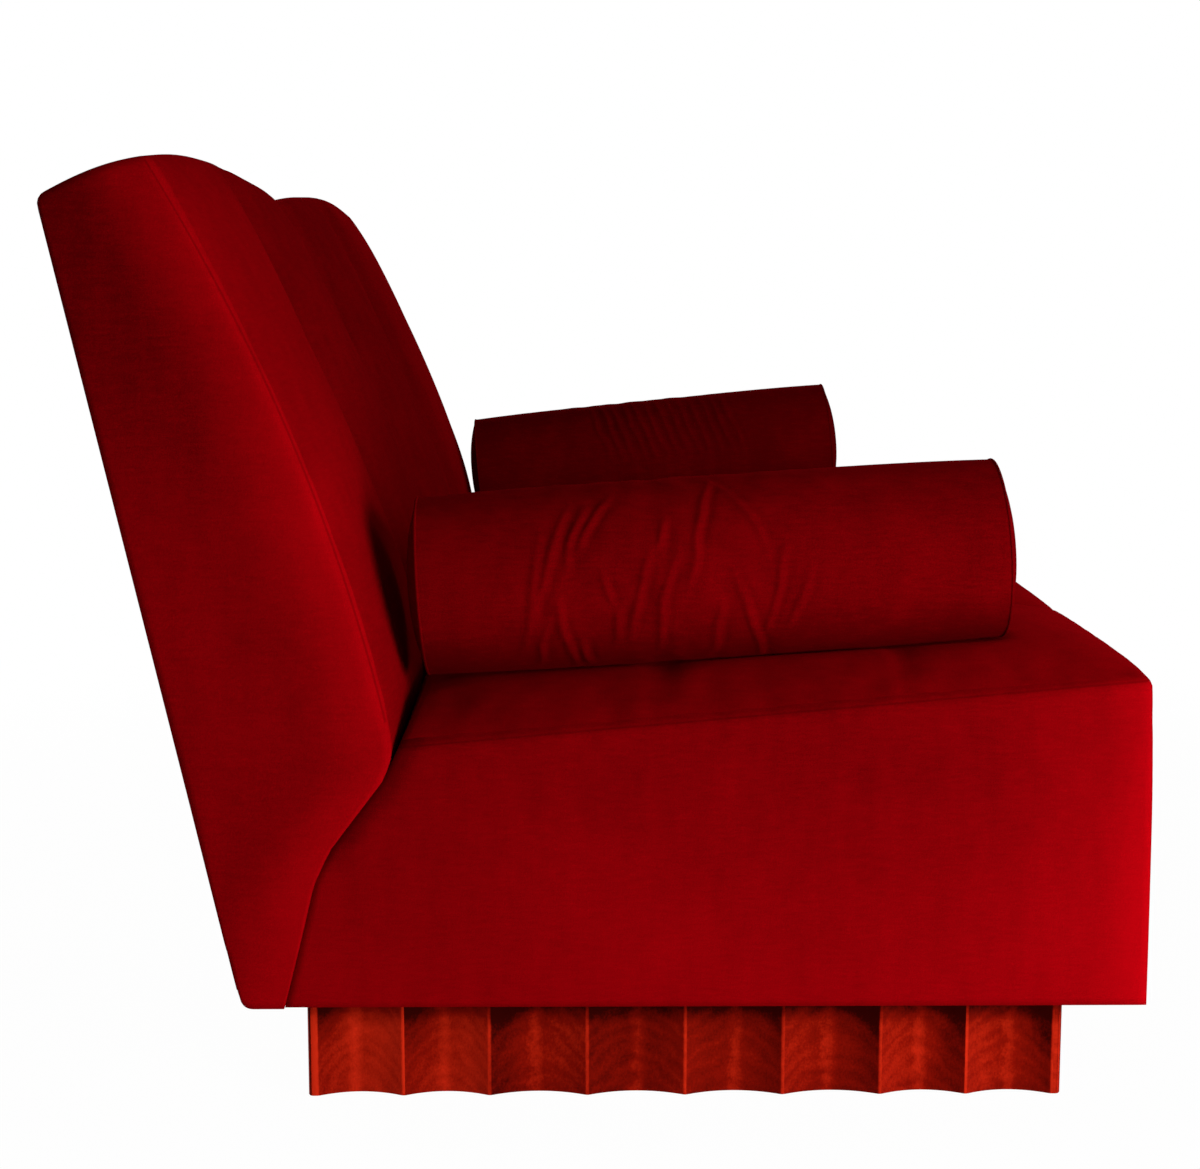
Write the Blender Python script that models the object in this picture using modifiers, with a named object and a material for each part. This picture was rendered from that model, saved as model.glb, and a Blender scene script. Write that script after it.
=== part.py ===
# Settee: a fluted plinth, a tufted seat block, a raked tufted back and two loose bolsters.
# Metres, +Z up, the front faces -Y, and the origin is on the floor under the middle of the settee.
import math

import bmesh
import bpy
from mathutils import Matrix, Vector
from mathutils.bvhtree import BVHTree

# Clearances
GAP = 0.0003                # between two pieces that touch
COVER_GAP = 0.0006          # between the seat's cover and the back's cover
BOLT_PLAY = 0.0006          # between a bolt and its hole

# Overall
LENGTH = 1.750              # over the two ends of the back
END_STEP = 0.005            # the seat's ends stand in from the back's ends
COVER = 0.003               # velvet with its wadding
HEM = 0.016                 # width of the cover that is turned in round an opening
EDGE_ROUND = 0.006          # rounding of the sewn edges

# Plinth
GLIDE_RADIUS = 0.016
GLIDE_HEIGHT = 0.004
PLINTH_HEIGHT = 0.115
PLINTH_INSET = 0.070        # from the upholstery's foot to the plinth's ridges, at the front and the ends
PLINTH_REAR_INSET = 0.060
PLINTH_BOARD = 0.026        # thickness at the ridges
FLUTE_DEPTH = 0.011
FLUTE_RIDGE = 0.006         # flat top of a ridge
FLUTE_NARROW = 0.0880       # pitch of the two flutes next to each corner
FLUTE_WIDE = 0.0980         # pitch that the other flutes come close to
CORNER_STRIP = 0.009        # from each corner to the first ridge's middle
CORNER_CHAMFER = 0.004
CORNER_BLOCK = 0.075        # legs of the triangular glue blocks
CORNER_BLOCK_DROP = 0.012   # the glue blocks' tops lie this far under the plinth's top
BEARER_WIDTH = 0.060
BEARER_HEIGHT = 0.045
BEARER_X = 0.450            # from the middle to each bearer
FLUTE_STEPS = 6

# Seat
DUST_CLOTH = 0.001
SEAT_FRONT = 0.535          # from the origin to the foot of the seat's front
FRONT_LEAN = 0.005          # the front leans back to its top seam
SEAM_FRONT_Z = 0.446        # top seam of the end panel at the front
SEAM_REAR_Z = 0.381         # and where it meets the back
SEAT_CROWN = 0.032          # rise of the seat inside its edge seams
FRONT_CROWN = 0.004         # rise along the front edge
FRONT_ROLL = 0.280          # over which the front edge rolls up to the crown
END_ROLL = 0.110            # over which an end rolls up to the crown
SEAT_TUFT = 0.010           # rise of a panel between its sewn seams
SEAT_CENTRE_DIP = 0.003     # the middle seam is sewn deeper
COLUMNS = 4
ROWS = 3
PANEL_STEPS = (0.0, 0.15, 0.5, 0.85)
FLAT_ANGLE = 0.0002         # faces closer to one plane than this are one face

# Line in the end view, (y, z), on which the seat and the back meet
JOIN = ((0.316, 0.121), (0.282, 0.248), (0.216, 0.337), (0.194, 0.412))
JOIN_SLANT = 1.3            # a slanted wall is this much wider along Y than it is thick

# Seat frame
RAIL = 0.030
RAIL_HEIGHT = 0.100
CROSS_WIDTH = 0.045
CROSS_HEIGHT = 0.050
WEB = 0.002
WEB_WIDTH = 0.070
WEB_END = 0.008             # a strap ends this far from the outer edge of its rail
WEB_X = (-0.660, -0.220, 0.220, 0.660)
LONG_WEB_Y = -0.130
WINDOW_OVER = 0.006         # the covers stay open this far above the rails that are bolted together

# Back
REAR_FOOT_Y = 0.364         # rear foot of the back
BACK_TILT = math.radians(12.48)
BACK_TALL = 0.804           # along the rear face
BACK_TOP = 0.116            # thickness of the end panel at its top
BACK_BELLY = 0.2077         # and at its fullest
BELLY_AT = 0.240            # along the rear face from the foot
TOP_RAMP = 0.015            # the top rises to the front
TOP_CROWN = 0.012           # rise of the top between the middle seam and the ends
TOP_DIP = 0.008             # fall of the top at the middle seam
BACK_CROWN = 0.004          # rise of the front inside its edge seams
TOP_ROLL = 0.090            # over which the front rolls up from the top edge
BACK_TUFT = 0.008
BACK_CENTRE_DIP = 0.008
DIP_WIDTH = 0.100           # reach of the middle seam's dip
REAR_PANEL = 0.004
REAR_PANEL_INSET = 0.008
REAR_HEM = 0.030            # width of the cover that is turned round to the rear

# Back frame
POST = 0.030
POST_DEPTH = 0.055
POST_FOOT_HEIGHT = 0.030
POST_WAIST = 0.195          # along the rear face, where the foot has tapered into the post
TOP_RAIL_HEIGHT = 0.045
BACK_WEB_AT = (0.340, 0.490, 0.640)
BACK_WEB_WIDTH = 0.050

# Bolts
BOLT_RADIUS = 0.004
BOLT_HEAD_RADIUS = 0.0085
BOLT_HEAD = 0.005
BOLT_TAIL = 0.004           # beyond the nut
NUT_RADIUS = 0.0085
NUT_HEIGHT = 0.0065
BACK_BOLT_X = (-0.700, -0.250, 0.250, 0.700)
BACK_BOLT_Z = 0.174
PLINTH_BOLT_FROM_BOARD = 0.090
PLINTH_BOLT_BITE = 0.035    # length in the seat's cross rail

# Bolsters
BOLSTER_RADIUS = 0.0935
BOLSTER_LENGTH = 0.592      # between the end seams
BOLSTER_DRAW = 0.004        # the ends are drawn in
BOLSTER_DOME = 0.012        # swell of each end panel
BOLSTER_CLOTH = 0.002
BOLSTER_FROM_END = 0.145    # from the back's end to the bolster's axis
BOLSTER_TILT = {"right": math.radians(3.8), "left": math.radians(5.8)}
BOLSTER_FROM_BACK = {"right": 0.027, "left": 0.019}
BOLSTER_STEPS = 28
BOLSTER_RINGS = (1.0, 0.86, 0.5, 0.0, -0.5, -0.86, -1.0)
DOME_RINGS = (0.0, 0.4, 0.75, 1.0)
SEAT_SEARCH = 0.200         # how far above the seat a bolster starts before it is set down
SEARCH_STEP = 0.020
SEARCH_HALVINGS = 14
APPROACHES = 4

# Worked-out places
HALF_BACK = LENGTH / 2
HALF_SEAT = HALF_BACK - END_STEP
PLINTH_TOP = GLIDE_HEIGHT + GAP + PLINTH_HEIGHT
BASE = PLINTH_TOP + GAP + DUST_CLOTH + GAP
RAIL_FOOT = BASE + COVER + GAP
RAIL_TOP = RAIL_FOOT + RAIL_HEIGHT
WINDOW_TOP = RAIL_TOP + WINDOW_OVER
WEB_FOOT = RAIL_TOP + GAP
LONG_WEB_FOOT = WEB_FOOT + WEB + GAP
FOAM_FOOT = LONG_WEB_FOOT + WEB + GAP
FRAME_REAR = REAR_PANEL + GAP + COVER + GAP
FRAME_FRONT = FRAME_REAR + POST_DEPTH
BACK_FOAM_REAR = FRAME_FRONT + GAP + WEB + GAP
TOP_RAIL_TOP = BACK_TALL - COVER - GAP
BACK_FRAME = (Matrix.Translation((0.0, REAR_FOOT_Y, BASE))
              @ Matrix.Rotation(-BACK_TILT, 4, "X"))


def new_collection(name):
    made = bpy.data.collections.new(name)
    bpy.context.scene.collection.children.link(made)
    return made


def new_material(name, colour, roughness, metallic=0.0):
    made = bpy.data.materials.new(name)
    made.use_nodes = True
    shader = made.node_tree.nodes["Principled BSDF"]
    shader.inputs["Base Color"].default_value = (*colour, 1.0)
    shader.inputs["Roughness"].default_value = roughness
    shader.inputs["Metallic"].default_value = metallic
    return made


for old in list(bpy.data.objects):
    bpy.data.objects.remove(old, do_unlink=True)
PARTS = new_collection("settee")
CUTTERS = new_collection("cutters")
VELVET = new_material("red_velvet", (0.260, 0.002, 0.006), 0.80)
MAHOGANY = new_material("mahogany", (0.300, 0.030, 0.012), 0.35)
TIMBER = new_material("frame_timber", (0.620, 0.450, 0.270), 0.70)
FOAM = new_material("foam", (0.850, 0.790, 0.560), 0.95)
WEBBING = new_material("webbing", (0.330, 0.270, 0.200), 0.90)
LINING = new_material("dust_cloth", (0.030, 0.030, 0.032), 0.95)
STEEL = new_material("zinc_steel", (0.560, 0.570, 0.580), 0.35, 0.9)
FELT = new_material("glide_plastic", (0.050, 0.045, 0.040), 0.70)


def add_mesh(name, bm, material, collection=None):
    mesh = bpy.data.meshes.new(name)
    bmesh.ops.recalc_face_normals(bm, faces=bm.faces)
    bm.to_mesh(mesh)
    bm.free()
    made = bpy.data.objects.new(name, mesh)
    if material:
        mesh.materials.append(material)
    (collection or PARTS).objects.link(made)
    return made


def box(name, low, high, material):
    bm = bmesh.new()
    bmesh.ops.create_cube(bm, size=1.0)
    size = Vector(high) - Vector(low)
    bmesh.ops.scale(bm, vec=size, verts=bm.verts)
    bmesh.ops.translate(bm, vec=Vector(low) + size / 2, verts=bm.verts)
    return add_mesh(name, bm, material)


def as_cutter(made):
    for old in list(made.users_collection):
        old.objects.unlink(made)
    CUTTERS.objects.link(made)
    made.hide_render = True
    made.display_type = "WIRE"
    return made


def cut(target, *cutters):
    for cutter in cutters:
        step = target.modifiers.new("cut_" + cutter.name, "BOOLEAN")
        step.operation = "DIFFERENCE"
        step.object = as_cutter(cutter)


def round_edges(target, width):
    step = target.modifiers.new("round", "BEVEL")
    step.width = width
    step.segments = 2
    step.limit_method = "ANGLE"
    step.angle_limit = math.radians(50)


def board(name, points, low, high, material, normal="X"):
    # A flat outline, extruded from low to high along X (points are y, z) or along Z (points are x, y).
    curve = bpy.data.curves.new(name, "CURVE")
    curve.dimensions = "2D"
    curve.fill_mode = "BOTH"
    curve.extrude = (high - low) / 2
    spline = curve.splines.new("POLY")
    spline.points.add(len(points) - 1)
    for point, (a, b) in zip(spline.points, points):
        point.co = (a, b, 0.0, 1.0)
    spline.use_cyclic_u = True
    flat = bpy.data.objects.new(name + "_outline", curve)
    PARTS.objects.link(flat)
    evaluated = flat.evaluated_get(bpy.context.evaluated_depsgraph_get())
    mesh = bpy.data.meshes.new_from_object(evaluated)
    bm = bmesh.new()
    bm.from_mesh(mesh)
    bpy.data.meshes.remove(mesh)
    bpy.data.objects.remove(flat, do_unlink=True)
    bmesh.ops.remove_doubles(bm, verts=bm.verts, dist=1e-6)
    middle = (low + high) / 2
    if normal == "X":
        turn = Matrix(((0, 0, 1), (1, 0, 0), (0, 1, 0))).to_4x4()
        bmesh.ops.transform(bm, matrix=Matrix.Translation((middle, 0, 0)) @ turn, verts=bm.verts)
    else:
        bmesh.ops.translate(bm, vec=(0, 0, middle), verts=bm.verts)
    return add_mesh(name, bm, material)


def turned(name, profile, steps, material, closed=False):
    # A profile (radius, height) that runs down its outer side, turned about Z.
    bm = bmesh.new()
    points = [bm.verts.new((radius, 0.0, height)) for radius, height in profile]
    for start, end in zip(points, points[1:]):
        bm.edges.new((start, end))
    if closed:
        bm.edges.new((points[-1], points[0]))
    made = add_mesh(name, bm, material)
    screw = made.modifiers.new("turn", "SCREW")
    screw.steps = steps
    screw.render_steps = steps
    screw.use_merge_vertices = True
    screw.merge_threshold = 0.00001
    made.data.shade_smooth()
    return made


def form(name, levels, place, material, edge_round=0.0):
    # A cube, cut at each level along its three axes, whose points are then moved to their places.
    bm = bmesh.new()
    bmesh.ops.create_cube(bm, size=1.0)
    low = Vector([axis[0] for axis in levels])
    high = Vector([axis[-1] for axis in levels])
    bmesh.ops.scale(bm, vec=high - low, verts=bm.verts)
    bmesh.ops.translate(bm, vec=(low + high) / 2, verts=bm.verts)
    for axis, values in enumerate(levels):
        normal = Vector((0.0, 0.0, 0.0))
        normal[axis] = 1.0
        for value in values[1:-1]:
            everything = bm.verts[:] + bm.edges[:] + bm.faces[:]
            bmesh.ops.bisect_plane(bm, geom=everything, plane_co=normal * value, plane_no=normal)
    for vert in bm.verts:
        vert.co = place(*vert.co)
    bmesh.ops.dissolve_limit(bm, angle_limit=FLAT_ANGLE, verts=bm.verts, edges=bm.edges)
    made = add_mesh(name, bm, material)
    if edge_round:
        round_edges(made, edge_round)
    # The shorter diagonal, so that nested forms are split alike and stay clear of each other.
    split = made.modifiers.new("split", "TRIANGULATE")
    split.quad_method = "SHORTEST_DIAGONAL"
    made.data.shade_smooth()
    made.data.set_sharp_from_angle(angle=math.radians(40))
    return made


def along(points, value):
    # First coordinate on a line of points, read at a second coordinate, carried on past its ends.
    for (a, at_a), (b, at_b) in zip(points, points[1:]):
        if value <= at_b:
            break
    return a + (b - a) * (value - at_a) / (at_b - at_a)


def join_y(z):
    return along(JOIN, z)


def roll(distance, reach):
    return math.sin(math.pi / 2 * min(max(distance / reach, 0.0), 1.0))


def swell(share, count):
    # Nought on each seam and one half-way between two seams.
    return abs(math.sin(math.pi * share * count)) ** 0.7


def dip(x):
    return math.exp(-(x / DIP_WIDTH) ** 2)


def panel_levels(count):
    steps = [(panel + step) / count for panel in range(count) for step in PANEL_STEPS]
    return steps + [1.0]


def mix(a, b, share):
    return a + (b - a) * share


# The seat's surface

SEAT_REAR = join_y(SEAM_REAR_Z)
SEAT_DEPTH = SEAT_FRONT + SEAT_REAR


def front_y(z):
    up = min((z - BASE) / (SEAM_FRONT_Z - BASE), 1.0)
    return -SEAT_FRONT + FRONT_LEAN * up ** 2


RAIL_FRONT_Y = front_y(RAIL_TOP) + COVER + GAP


def seam_z(y):
    return mix(SEAM_FRONT_Z, SEAM_REAR_Z, (y + SEAT_FRONT) / SEAT_DEPTH)


def seat_rise(x, y):
    from_front = y + SEAT_FRONT
    crown = mix(FRONT_CROWN, SEAT_CROWN, roll(from_front, FRONT_ROLL))
    across = (x + HALF_SEAT) / (2 * HALF_SEAT)
    tuft = SEAT_TUFT * swell(across, COLUMNS) * swell(from_front / SEAT_DEPTH, ROWS)
    return roll(HALF_SEAT - abs(x), END_ROLL) * crown + tuft - SEAT_CENTRE_DIP * dip(x)


def seat_place(inset, foot):
    # Places a point of the seat: u along X, v from front to rear, and the number of its level.
    def place(u, v, level):
        across = 2 * u - 1
        whole_x = across * HALF_SEAT
        flat_y = mix(-SEAT_FRONT, SEAT_REAR, v)
        top = seam_z(flat_y) + seat_rise(whole_x, flat_y) - inset
        z = (foot, JOIN[1][1], JOIN[2][1], top)[round(level)]
        front = front_y(z) + inset
        rear = join_y(z) - COVER_GAP / 2 - inset * JOIN_SLANT
        return Vector((across * (HALF_SEAT - inset), mix(front, rear, v), z))
    return place


# The back's surface, in its own frame: n is forward from the rear face and s is up along it

def back_local(y, z):
    point = BACK_FRAME.inverted() @ Vector((0.0, y, z))
    return -point.y, point.z


JOIN_BACK = [back_local(y + COVER_GAP / 2, z) for y, z in JOIN]
SEAT_LEVEL = JOIN_BACK[-1][1]


def top_rise(x):
    share = (x + HALF_BACK) / (2 * HALF_BACK)
    return TOP_CROWN * swell(share, 2) - TOP_DIP * dip(x)


def back_rise(x, s):
    across = (x + HALF_BACK) / (2 * HALF_BACK)
    share = max((s - SEAT_LEVEL) / (BACK_TALL - SEAT_LEVEL), 0.0)
    tuft = BACK_TUFT * swell(across, COLUMNS) * swell(share, ROWS)
    rolled = roll(HALF_BACK - abs(x), END_ROLL) * roll(BACK_TALL - s, TOP_ROLL)
    return BACK_CROWN * rolled + tuft - BACK_CENTRE_DIP * dip(x) * roll(BACK_TALL - s, TOP_ROLL)


def back_front(x, s):
    up = max(s - BELLY_AT, 0.0) / (BACK_TALL - BELLY_AT)
    full = mix(BACK_BELLY, BACK_TOP, up ** 2) + back_rise(x, s)
    if s > SEAT_LEVEL + GAP:
        return full
    return min(full, along(JOIN_BACK, s))


def back_place(inset, rear_n):
    # Places a point of the back: u along X, v from rear to front, s up along the rear face.
    def place(u, v, s):
        across = 2 * u - 1
        whole_x = across * HALF_BACK
        if s > 0.0:
            slant = mix(JOIN_SLANT, 1.0, min(s / SEAT_LEVEL, 1.0))
            n = mix(rear_n, back_front(whole_x, s) - inset * slant, v)
            at_top = max(s - BELLY_AT, 0.0) / (BACK_TALL - BELLY_AT)
            rise = (top_rise(whole_x) + TOP_RAMP * n / BACK_TOP) * v - inset
            height = s + rise * at_top ** 3
        else:
            foot = back_local(join_y(BASE + inset) + COVER_GAP / 2, BASE + inset)[0]
            n = mix(rear_n, foot - inset * JOIN_SLANT, v)
            height = inset / math.cos(BACK_TILT) - n * math.tan(BACK_TILT)
        return BACK_FRAME @ Vector((across * (HALF_BACK - inset), -n, height))
    return place


def row_levels():
    return [mix(SEAT_LEVEL, BACK_TALL, share) for share in panel_levels(ROWS)]


def back_box(name, low, high, material):
    # A box in the back's frame, given as (x, n, s).
    made = box(name, (low[0], -high[1], low[2]), (high[0], -low[1], high[2]), material)
    made.parent = back_frame
    return made


# Plinth

def fluted_edge(length):
    # Offsets (along, depth) of the outer edge, from corner to corner.
    span = length - 2 * CORNER_STRIP
    wide_count = round((span - 4 * FLUTE_NARROW) / FLUTE_WIDE)
    wide = (span - 4 * FLUTE_NARROW) / wide_count
    points = [(0.0, CORNER_CHAMFER), (CORNER_CHAMFER, 0.0)]
    start = CORNER_STRIP
    for pitch in [FLUTE_NARROW] * 2 + [wide] * wide_count + [FLUTE_NARROW] * 2:
        chord = pitch - FLUTE_RIDGE
        for step in range(FLUTE_STEPS + 1):
            share = step / FLUTE_STEPS
            depth = FLUTE_DEPTH * (1 - (2 * share - 1) ** 2)
            points.append((start + FLUTE_RIDGE / 2 + chord * share, depth))
        start += pitch
    return points + [(length - CORNER_CHAMFER, 0.0), (length, CORNER_CHAMFER)]


def plinth_board(name, length, centre, angle):
    # A fluted board with mitred ends, whose outer face looks along -Y before it is turned.
    edge = fluted_edge(length)
    mitre = GAP * math.sqrt(0.5)
    first = CORNER_CHAMFER + mitre
    outer = [(a - length / 2, depth) for a, depth in edge[1:-1]]
    outer = [(-length / 2 + first, CORNER_CHAMFER - mitre)] + outer
    outer = outer + [(length / 2 - first, CORNER_CHAMFER - mitre)]
    inner_half = length / 2 - PLINTH_BOARD - mitre
    points = outer + [(inner_half, PLINTH_BOARD), (-inner_half, PLINTH_BOARD)]
    turn = Matrix.Rotation(angle, 2)
    points = [turn @ Vector(point) + Vector(centre) for point in points]
    foot = PLINTH_TOP - PLINTH_HEIGHT
    return board(name, points, foot, PLINTH_TOP, MAHOGANY, "Z")


PLINTH_FRONT = -SEAT_FRONT + PLINTH_INSET
PLINTH_REAR = REAR_FOOT_Y - PLINTH_REAR_INSET
PLINTH_END = HALF_BACK - PLINTH_INSET
PLINTH_MIDDLE = (PLINTH_FRONT + PLINTH_REAR) / 2


def build_plinth():
    long_side = 2 * PLINTH_END
    short_side = PLINTH_REAR - PLINTH_FRONT
    plinth_board("plinth_front", long_side, (0.0, PLINTH_FRONT), 0.0)
    plinth_board("plinth_back", long_side, (0.0, PLINTH_REAR), math.pi)
    plinth_board("plinth_end_left", short_side, (PLINTH_END, PLINTH_MIDDLE), math.pi / 2)
    plinth_board("plinth_end_right", short_side, (-PLINTH_END, PLINTH_MIDDLE), -math.pi / 2)
    inside_x = PLINTH_END - PLINTH_BOARD - GAP
    inside_front = PLINTH_FRONT + PLINTH_BOARD + GAP
    inside_rear = PLINTH_REAR - PLINTH_BOARD - GAP
    foot = PLINTH_TOP - PLINTH_HEIGHT
    for side, x, inward in (("right", -inside_x, 1), ("left", inside_x, -1)):
        for end, y, onward in (("front", inside_front, 1), ("back", inside_rear, -1)):
            legs = [(x, y), (x + inward * CORNER_BLOCK, y), (x, y + onward * CORNER_BLOCK)]
            board(f"plinth_block_{end}_{side}", legs, foot, PLINTH_TOP - CORNER_BLOCK_DROP, TIMBER, "Z")
            glide = turned(f"floor_glide_{end}_{side}", [(0.0, GLIDE_HEIGHT), (GLIDE_RADIUS, GLIDE_HEIGHT),
                           (GLIDE_RADIUS, 0.0), (0.0, 0.0)], 16, FELT)
            third = CORNER_BLOCK / 3
            glide.location = (x + inward * third, y + onward * third, 0.0)
        low = (inward * -BEARER_X - BEARER_WIDTH / 2, inside_front, PLINTH_TOP - BEARER_HEIGHT)
        high = (inward * -BEARER_X + BEARER_WIDTH / 2, inside_rear, PLINTH_TOP)
        box(f"plinth_bearer_{side}", low, high, TIMBER)


# Fasteners

def bolt(name, length):
    # The head's seat is at the origin, and the shank runs up.
    return turned(name, [(0.0, length), (BOLT_RADIUS, length), (BOLT_RADIUS, 0.0), (BOLT_HEAD_RADIUS, 0.0),
                         (BOLT_HEAD_RADIUS, -BOLT_HEAD), (0.0, -BOLT_HEAD)], 12, STEEL)


def nut(name):
    bore = (BOLT_RADIUS + BOLT_PLAY) / math.cos(math.pi / 6)
    return turned(name, [(bore, NUT_HEIGHT), (NUT_RADIUS, NUT_HEIGHT), (NUT_RADIUS, 0.0), (bore, 0.0)],
                  6, STEEL, closed=True)


def hole(name, length):
    radius = (BOLT_RADIUS + BOLT_PLAY) / math.cos(math.pi / 12)
    return turned(name, [(0.0, length), (radius, length), (radius, -length), (0.0, -length)], 12, None)


def bolt_back(rail_seat, rail_back):
    # Four bolts through the two rails, square to the faces that meet.
    run = Vector((JOIN[1][0] - JOIN[0][0], JOIN[1][1] - JOIN[0][1]))
    aim = Vector((0.0, run.y, -run.x)).normalized()
    turn = aim.to_track_quat("Z", "Y").to_matrix().to_4x4()
    reach = RAIL + GAP / 2 + GAP
    for number, x in enumerate(BACK_BOLT_X, 1):
        middle = Vector((x, join_y(BACK_BOLT_Z), BACK_BOLT_Z))
        made = bolt(f"back_bolt_{number}", 2 * reach + NUT_HEIGHT + BOLT_TAIL)
        made.matrix_world = Matrix.Translation(middle - aim * reach) @ turn
        holder = nut(f"back_nut_{number}")
        holder.matrix_world = Matrix.Translation(middle + aim * reach) @ turn
        for rail in (rail_seat, rail_back):
            drill = hole(f"{rail.name}_hole_{number}", 2 * reach)
            drill.matrix_world = Matrix.Translation(middle) @ turn
            cut(rail, drill)


def bolt_plinth(cloth, bearers, crosses):
    # Two bolts through each bearer, up into the seat's cross rail.
    length = BEARER_HEIGHT + GAP + PLINTH_BOLT_BITE
    seat_z = PLINTH_TOP - BEARER_HEIGHT - GAP
    ends = {"front": PLINTH_FRONT + PLINTH_BOARD + PLINTH_BOLT_FROM_BOARD,
            "back": PLINTH_REAR - PLINTH_BOARD - PLINTH_BOLT_FROM_BOARD}
    for bearer, cross, side, x in zip(bearers, crosses, ("right", "left"), (-BEARER_X, BEARER_X)):
        for end, y in ends.items():
            made = bolt(f"plinth_bolt_{end}_{side}", length)
            made.location = (x, y, seat_z)
            for target in (bearer, cross, cloth):
                drill = hole(f"{target.name}_hole_{end}_{side}", length + GAP)
                drill.location = (x, y, seat_z)
                cut(target, drill)


# Seat

def build_seat():
    levels = (panel_levels(COLUMNS), panel_levels(ROWS), (0, 1, 2, 3))
    cover = form("seat_cover", levels, seat_place(0.0, BASE), VELVET, EDGE_ROUND)
    stuffing = form("seat_hollow", levels, seat_place(COVER, BASE + COVER), None)
    wide = HALF_SEAT - HEM
    under = box("seat_underside", (-wide, -SEAT_FRONT + HEM, BASE - COVER),
                (wide, REAR_FOOT_Y, BASE + 2 * COVER), None)
    window = box("seat_window", (-wide, SEAT_REAR, BASE - COVER), (wide, REAR_FOOT_Y, WINDOW_TOP), None)
    cut(cover, stuffing, under, window)
    form("seat_foam", levels, seat_place(COVER + GAP, FOAM_FOOT), FOAM)

    slant = math.hypot(JOIN[1][0] - JOIN[0][0], JOIN[1][1] - JOIN[0][1]) / (JOIN[1][1] - JOIN[0][1])
    deep = RAIL * slant
    meet = GAP / 2
    wide = wide - GAP
    rail_x = HALF_SEAT - COVER - GAP
    box("seat_rail_front", (-rail_x, RAIL_FRONT_Y, RAIL_FOOT), (rail_x, RAIL_FRONT_Y + RAIL, RAIL_TOP), TIMBER)

    def behind(z, offset):
        return (join_y(z) + offset, z)
    rail_seat = board("seat_rail_back", [behind(RAIL_FOOT, -meet), behind(RAIL_TOP, -meet),
                      behind(RAIL_TOP, -meet - deep), behind(RAIL_FOOT, -meet - deep)], -wide, wide, TIMBER)
    rail_back = board("back_rail_bottom", [behind(RAIL_FOOT, meet), behind(RAIL_FOOT, meet + deep),
                      behind(RAIL_TOP, meet + deep), behind(RAIL_TOP, meet)], -wide, wide, TIMBER)
    bolt_back(rail_seat, rail_back)

    def bar(name, low_x, high_x, foot, top):
        start = RAIL_FRONT_Y + RAIL + GAP
        end = -meet - deep - GAP * slant
        return board(name, [(start, foot), behind(foot, end), behind(top, end), (start, top)],
                     low_x, high_x, TIMBER)
    bar("seat_rail_right", -rail_x, -rail_x + RAIL, RAIL_FOOT, RAIL_TOP)
    bar("seat_rail_left", rail_x - RAIL, rail_x, RAIL_FOOT, RAIL_TOP)
    crosses = [bar(f"seat_cross_{side}", x - CROSS_WIDTH / 2, x + CROSS_WIDTH / 2, BASE, BASE + CROSS_HEIGHT)
               for side, x in (("right", -BEARER_X), ("left", BEARER_X))]
    cloth = box("dust_cloth", (-HALF_SEAT + HEM, RAIL_FRONT_Y, PLINTH_TOP + GAP),
                (HALF_SEAT - HEM, join_y(BASE) - HEM, PLINTH_TOP + GAP + DUST_CLOTH), LINING)
    bearers = [PARTS.objects["plinth_bearer_right"], PARTS.objects["plinth_bearer_left"]]
    bolt_plinth(cloth, bearers, crosses)

    web_rear = join_y(RAIL_TOP) - meet - WEB_END
    for number, x in enumerate(WEB_X, 1):
        box(f"seat_web_{number}", (x - WEB_WIDTH / 2, RAIL_FRONT_Y + WEB_END, WEB_FOOT),
            (x + WEB_WIDTH / 2, web_rear, WEB_FOOT + WEB), WEBBING)
    box("seat_web_long", (-rail_x + WEB_END, LONG_WEB_Y - WEB_WIDTH / 2, LONG_WEB_FOOT),
        (rail_x - WEB_END, LONG_WEB_Y + WEB_WIDTH / 2, LONG_WEB_FOOT + WEB), WEBBING)
    return cover


# Back

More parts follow.
